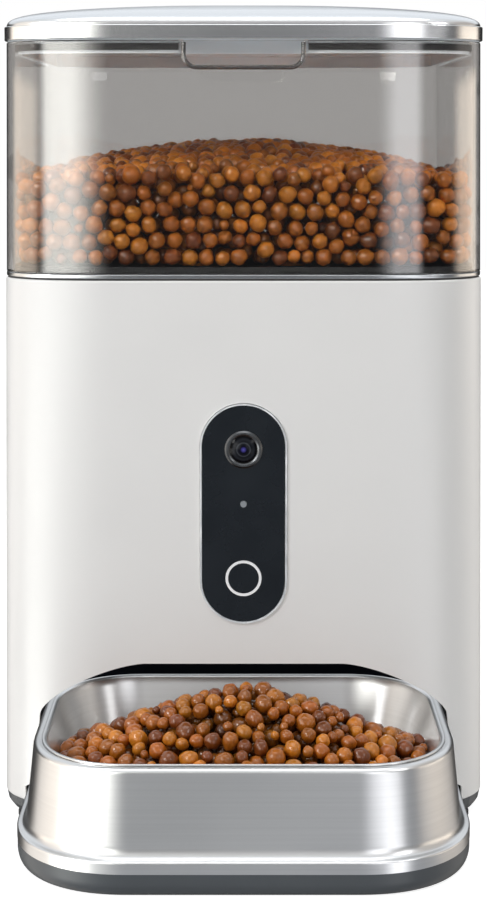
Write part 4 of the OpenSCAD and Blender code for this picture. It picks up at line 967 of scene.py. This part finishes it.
def mirror_room(tree, azimuth, aside, rise):
    """What gloss sees: a dark front, warm sides, a pale sky and two tall strip boxes."""
    front = mix_colour(tree, step_between(tree, rise, *FOOT_LINE), FRONT_DARK, FRONT_LOW)
    front = mix_colour(tree, step_between(tree, rise, *EYE_LINE), front, FRONT_MID)
    front = mix_colour(tree, step_between(tree, rise, *HEAD_LINE), front, FRONT_HIGH)
    back = mix_colour(tree, step_between(tree, rise, *BACK_LINE), BACK_DARK, SKY)
    room = mix_colour(tree, step_between(tree, aside, *degrees(*BACK_EDGE)), front, back)
    lean = step_between(tree, rise, *FOOT_LINE, 0.0, math.radians(SIDE_LEAN))
    shifted = tree.nodes.new("ShaderNodeMath")
    shifted.inputs[1].default_value = math.radians(SIDE_TURN)
    tree.links.new(azimuth, shifted.inputs[0])
    turned = calculate(tree, "ABSOLUTE", shifted.outputs["Value"])
    turned = calculate(tree, "SUBTRACT", turned, lean)
    side = mix_colour(tree, step_between(tree, azimuth, *SIDE_BLEND), SIDE_LEFT, SIDE_RIGHT)
    side = mix_colour(tree, between(tree, rise, *BOX_LEVEL), side, SIDE_BOX)
    room = mix_colour(tree, around(tree, turned, SIDE_EDGES), room, side)
    room = mix_colour(tree, step_between(tree, rise, *SKY_LINE), room, SKY)
    height = between(tree, rise, *STRIP_LEVEL)
    lean = step_between(tree, rise, *STRIP_FOOT, 0.0, math.radians(LEFT_LEAN))
    left = around(tree, calculate(tree, "ADD", azimuth, lean), LEFT_EDGES)
    lean = step_between(tree, rise, *STRIP_FOOT, 0.0, math.radians(RIGHT_LEAN))
    right = around(tree, calculate(tree, "SUBTRACT", azimuth, lean), RIGHT_EDGES)
    room = mix_colour(tree, calculate(tree, "MULTIPLY", left, height), room, LEFT_STRIP)
    return mix_colour(tree, calculate(tree, "MULTIPLY", right, height), room, RIGHT_STRIP)


def world_light():
    """White to the camera, a plain level to matt surfaces and the mirror room to gloss.

    Through the tank the view ends in the pale backdrop, gloss inside sees one bright spot, and the light
    on what lies inside comes from above.
    """
    world = bpy.data.worlds.new("studio")
    scene.world = world
    world.use_nodes = True
    tree = world.node_tree
    path = tree.nodes.new("ShaderNodeLightPath")
    place = tree.nodes.new("ShaderNodeTexCoord")
    axes = tree.nodes.new("ShaderNodeSeparateXYZ")
    tree.links.new(place.outputs["Generated"], axes.inputs["Vector"])
    ahead = tree.nodes.new("ShaderNodeMath")
    ahead.operation = "MULTIPLY"
    ahead.inputs[1].default_value = -1
    tree.links.new(axes.outputs["Y"], ahead.inputs[0])
    azimuth = calculate(tree, "ARCTAN2", axes.outputs["X"], ahead.outputs["Value"])
    aside = calculate(tree, "ABSOLUTE", azimuth)

    mirror = mirror_room(tree, azimuth, aside, axes.outputs["Z"])
    spot = calculate(tree, "MULTIPLY", around(tree, azimuth, SPOT_EDGES),
                     between(tree, axes.outputs["Z"], *SPOT_LEVEL))
    deep = mix_colour(tree, spot, BACKDROP, GLASS_TOP)
    passed = step_between(tree, path.outputs["Transmission Depth"], *DEEP_EDGE)
    glass = mix_colour(tree, passed, mirror, deep)
    glass = mix_colour(tree, step_between(tree, aside, *degrees(*BEHIND_EDGE)), glass, BACKDROP)
    lit = mix_colour(tree, step_between(tree, axes.outputs["Z"], *LIT_LEVEL), GLASS_LOW, GLASS_HIGH)
    glass = mix_colour(tree, path.outputs["Diffuse Depth"], glass, lit)
    light = mix_colour(tree, path.outputs["Is Glossy Ray"], DIFFUSE_LEVEL, mirror)
    light = mix_colour(tree, path.outputs["Is Transmission Ray"], light, glass)
    light = mix_colour(tree, path.outputs["Is Camera Ray"], light, (1.0, 1.0, 1.0))
    tree.links.new(light, tree.nodes["Background"].inputs["Color"])


def soft_box(name, place, target, width, height, power, colour=(1, 1, 1), in_gloss=True):
    """An area lamp for the broad light, which the tank doesn't show."""
    lamp = bpy.data.lights.new(name, "AREA")
    lamp.shape = "RECTANGLE"
    lamp.size, lamp.size_y = width, height
    lamp.energy = power
    lamp.color = colour
    obj = bpy.data.objects.new(name, lamp)
    obj.location = place
    obj.rotation_euler = (Vector(target) - Vector(place)).to_track_quat("-Z", "Y").to_euler()
    obj.visible_glossy = in_gloss
    obj.visible_transmission = False
    scene.collection.objects.link(obj)


WARM = (1.0, 0.97, 0.93)
CAMERA_TILT = 5.5
stage_floor()
world_light()
soft_box("left_box", (-1.3, -0.9, 0.95), (0, 0, 0.15), 0.45, 0.45, 14)
soft_box("right_box", (1.2, -1.1, 0.95), (0, 0, 0.15), 0.4, 0.4, 4)
soft_box("top_box", (0, -0.2, 1.5), (0, 0.0, 0.2), 1.0, 0.8, 7)
soft_box("left_rim", (-1.2, 0.4, 0.5), (0, 0.03, 0.15), 0.5, 0.9, 3, WARM, False)
soft_box("right_rim", (1.2, 0.4, 0.5), (0, 0.03, 0.15), 0.5, 0.9, 5, WARM, False)

camera_data = bpy.data.cameras.new("camera")
camera_data.lens = 76
camera_data.sensor_width = 36
camera_data.shift_y = -0.1484
camera = bpy.data.objects.new("camera", camera_data)
camera.location = (0, -0.789, 0.2744)
camera.rotation_euler = (math.radians(90 - CAMERA_TILT), 0, 0)
scene.collection.objects.link(camera)
scene.camera = camera
scene.view_settings.view_transform = "Standard"
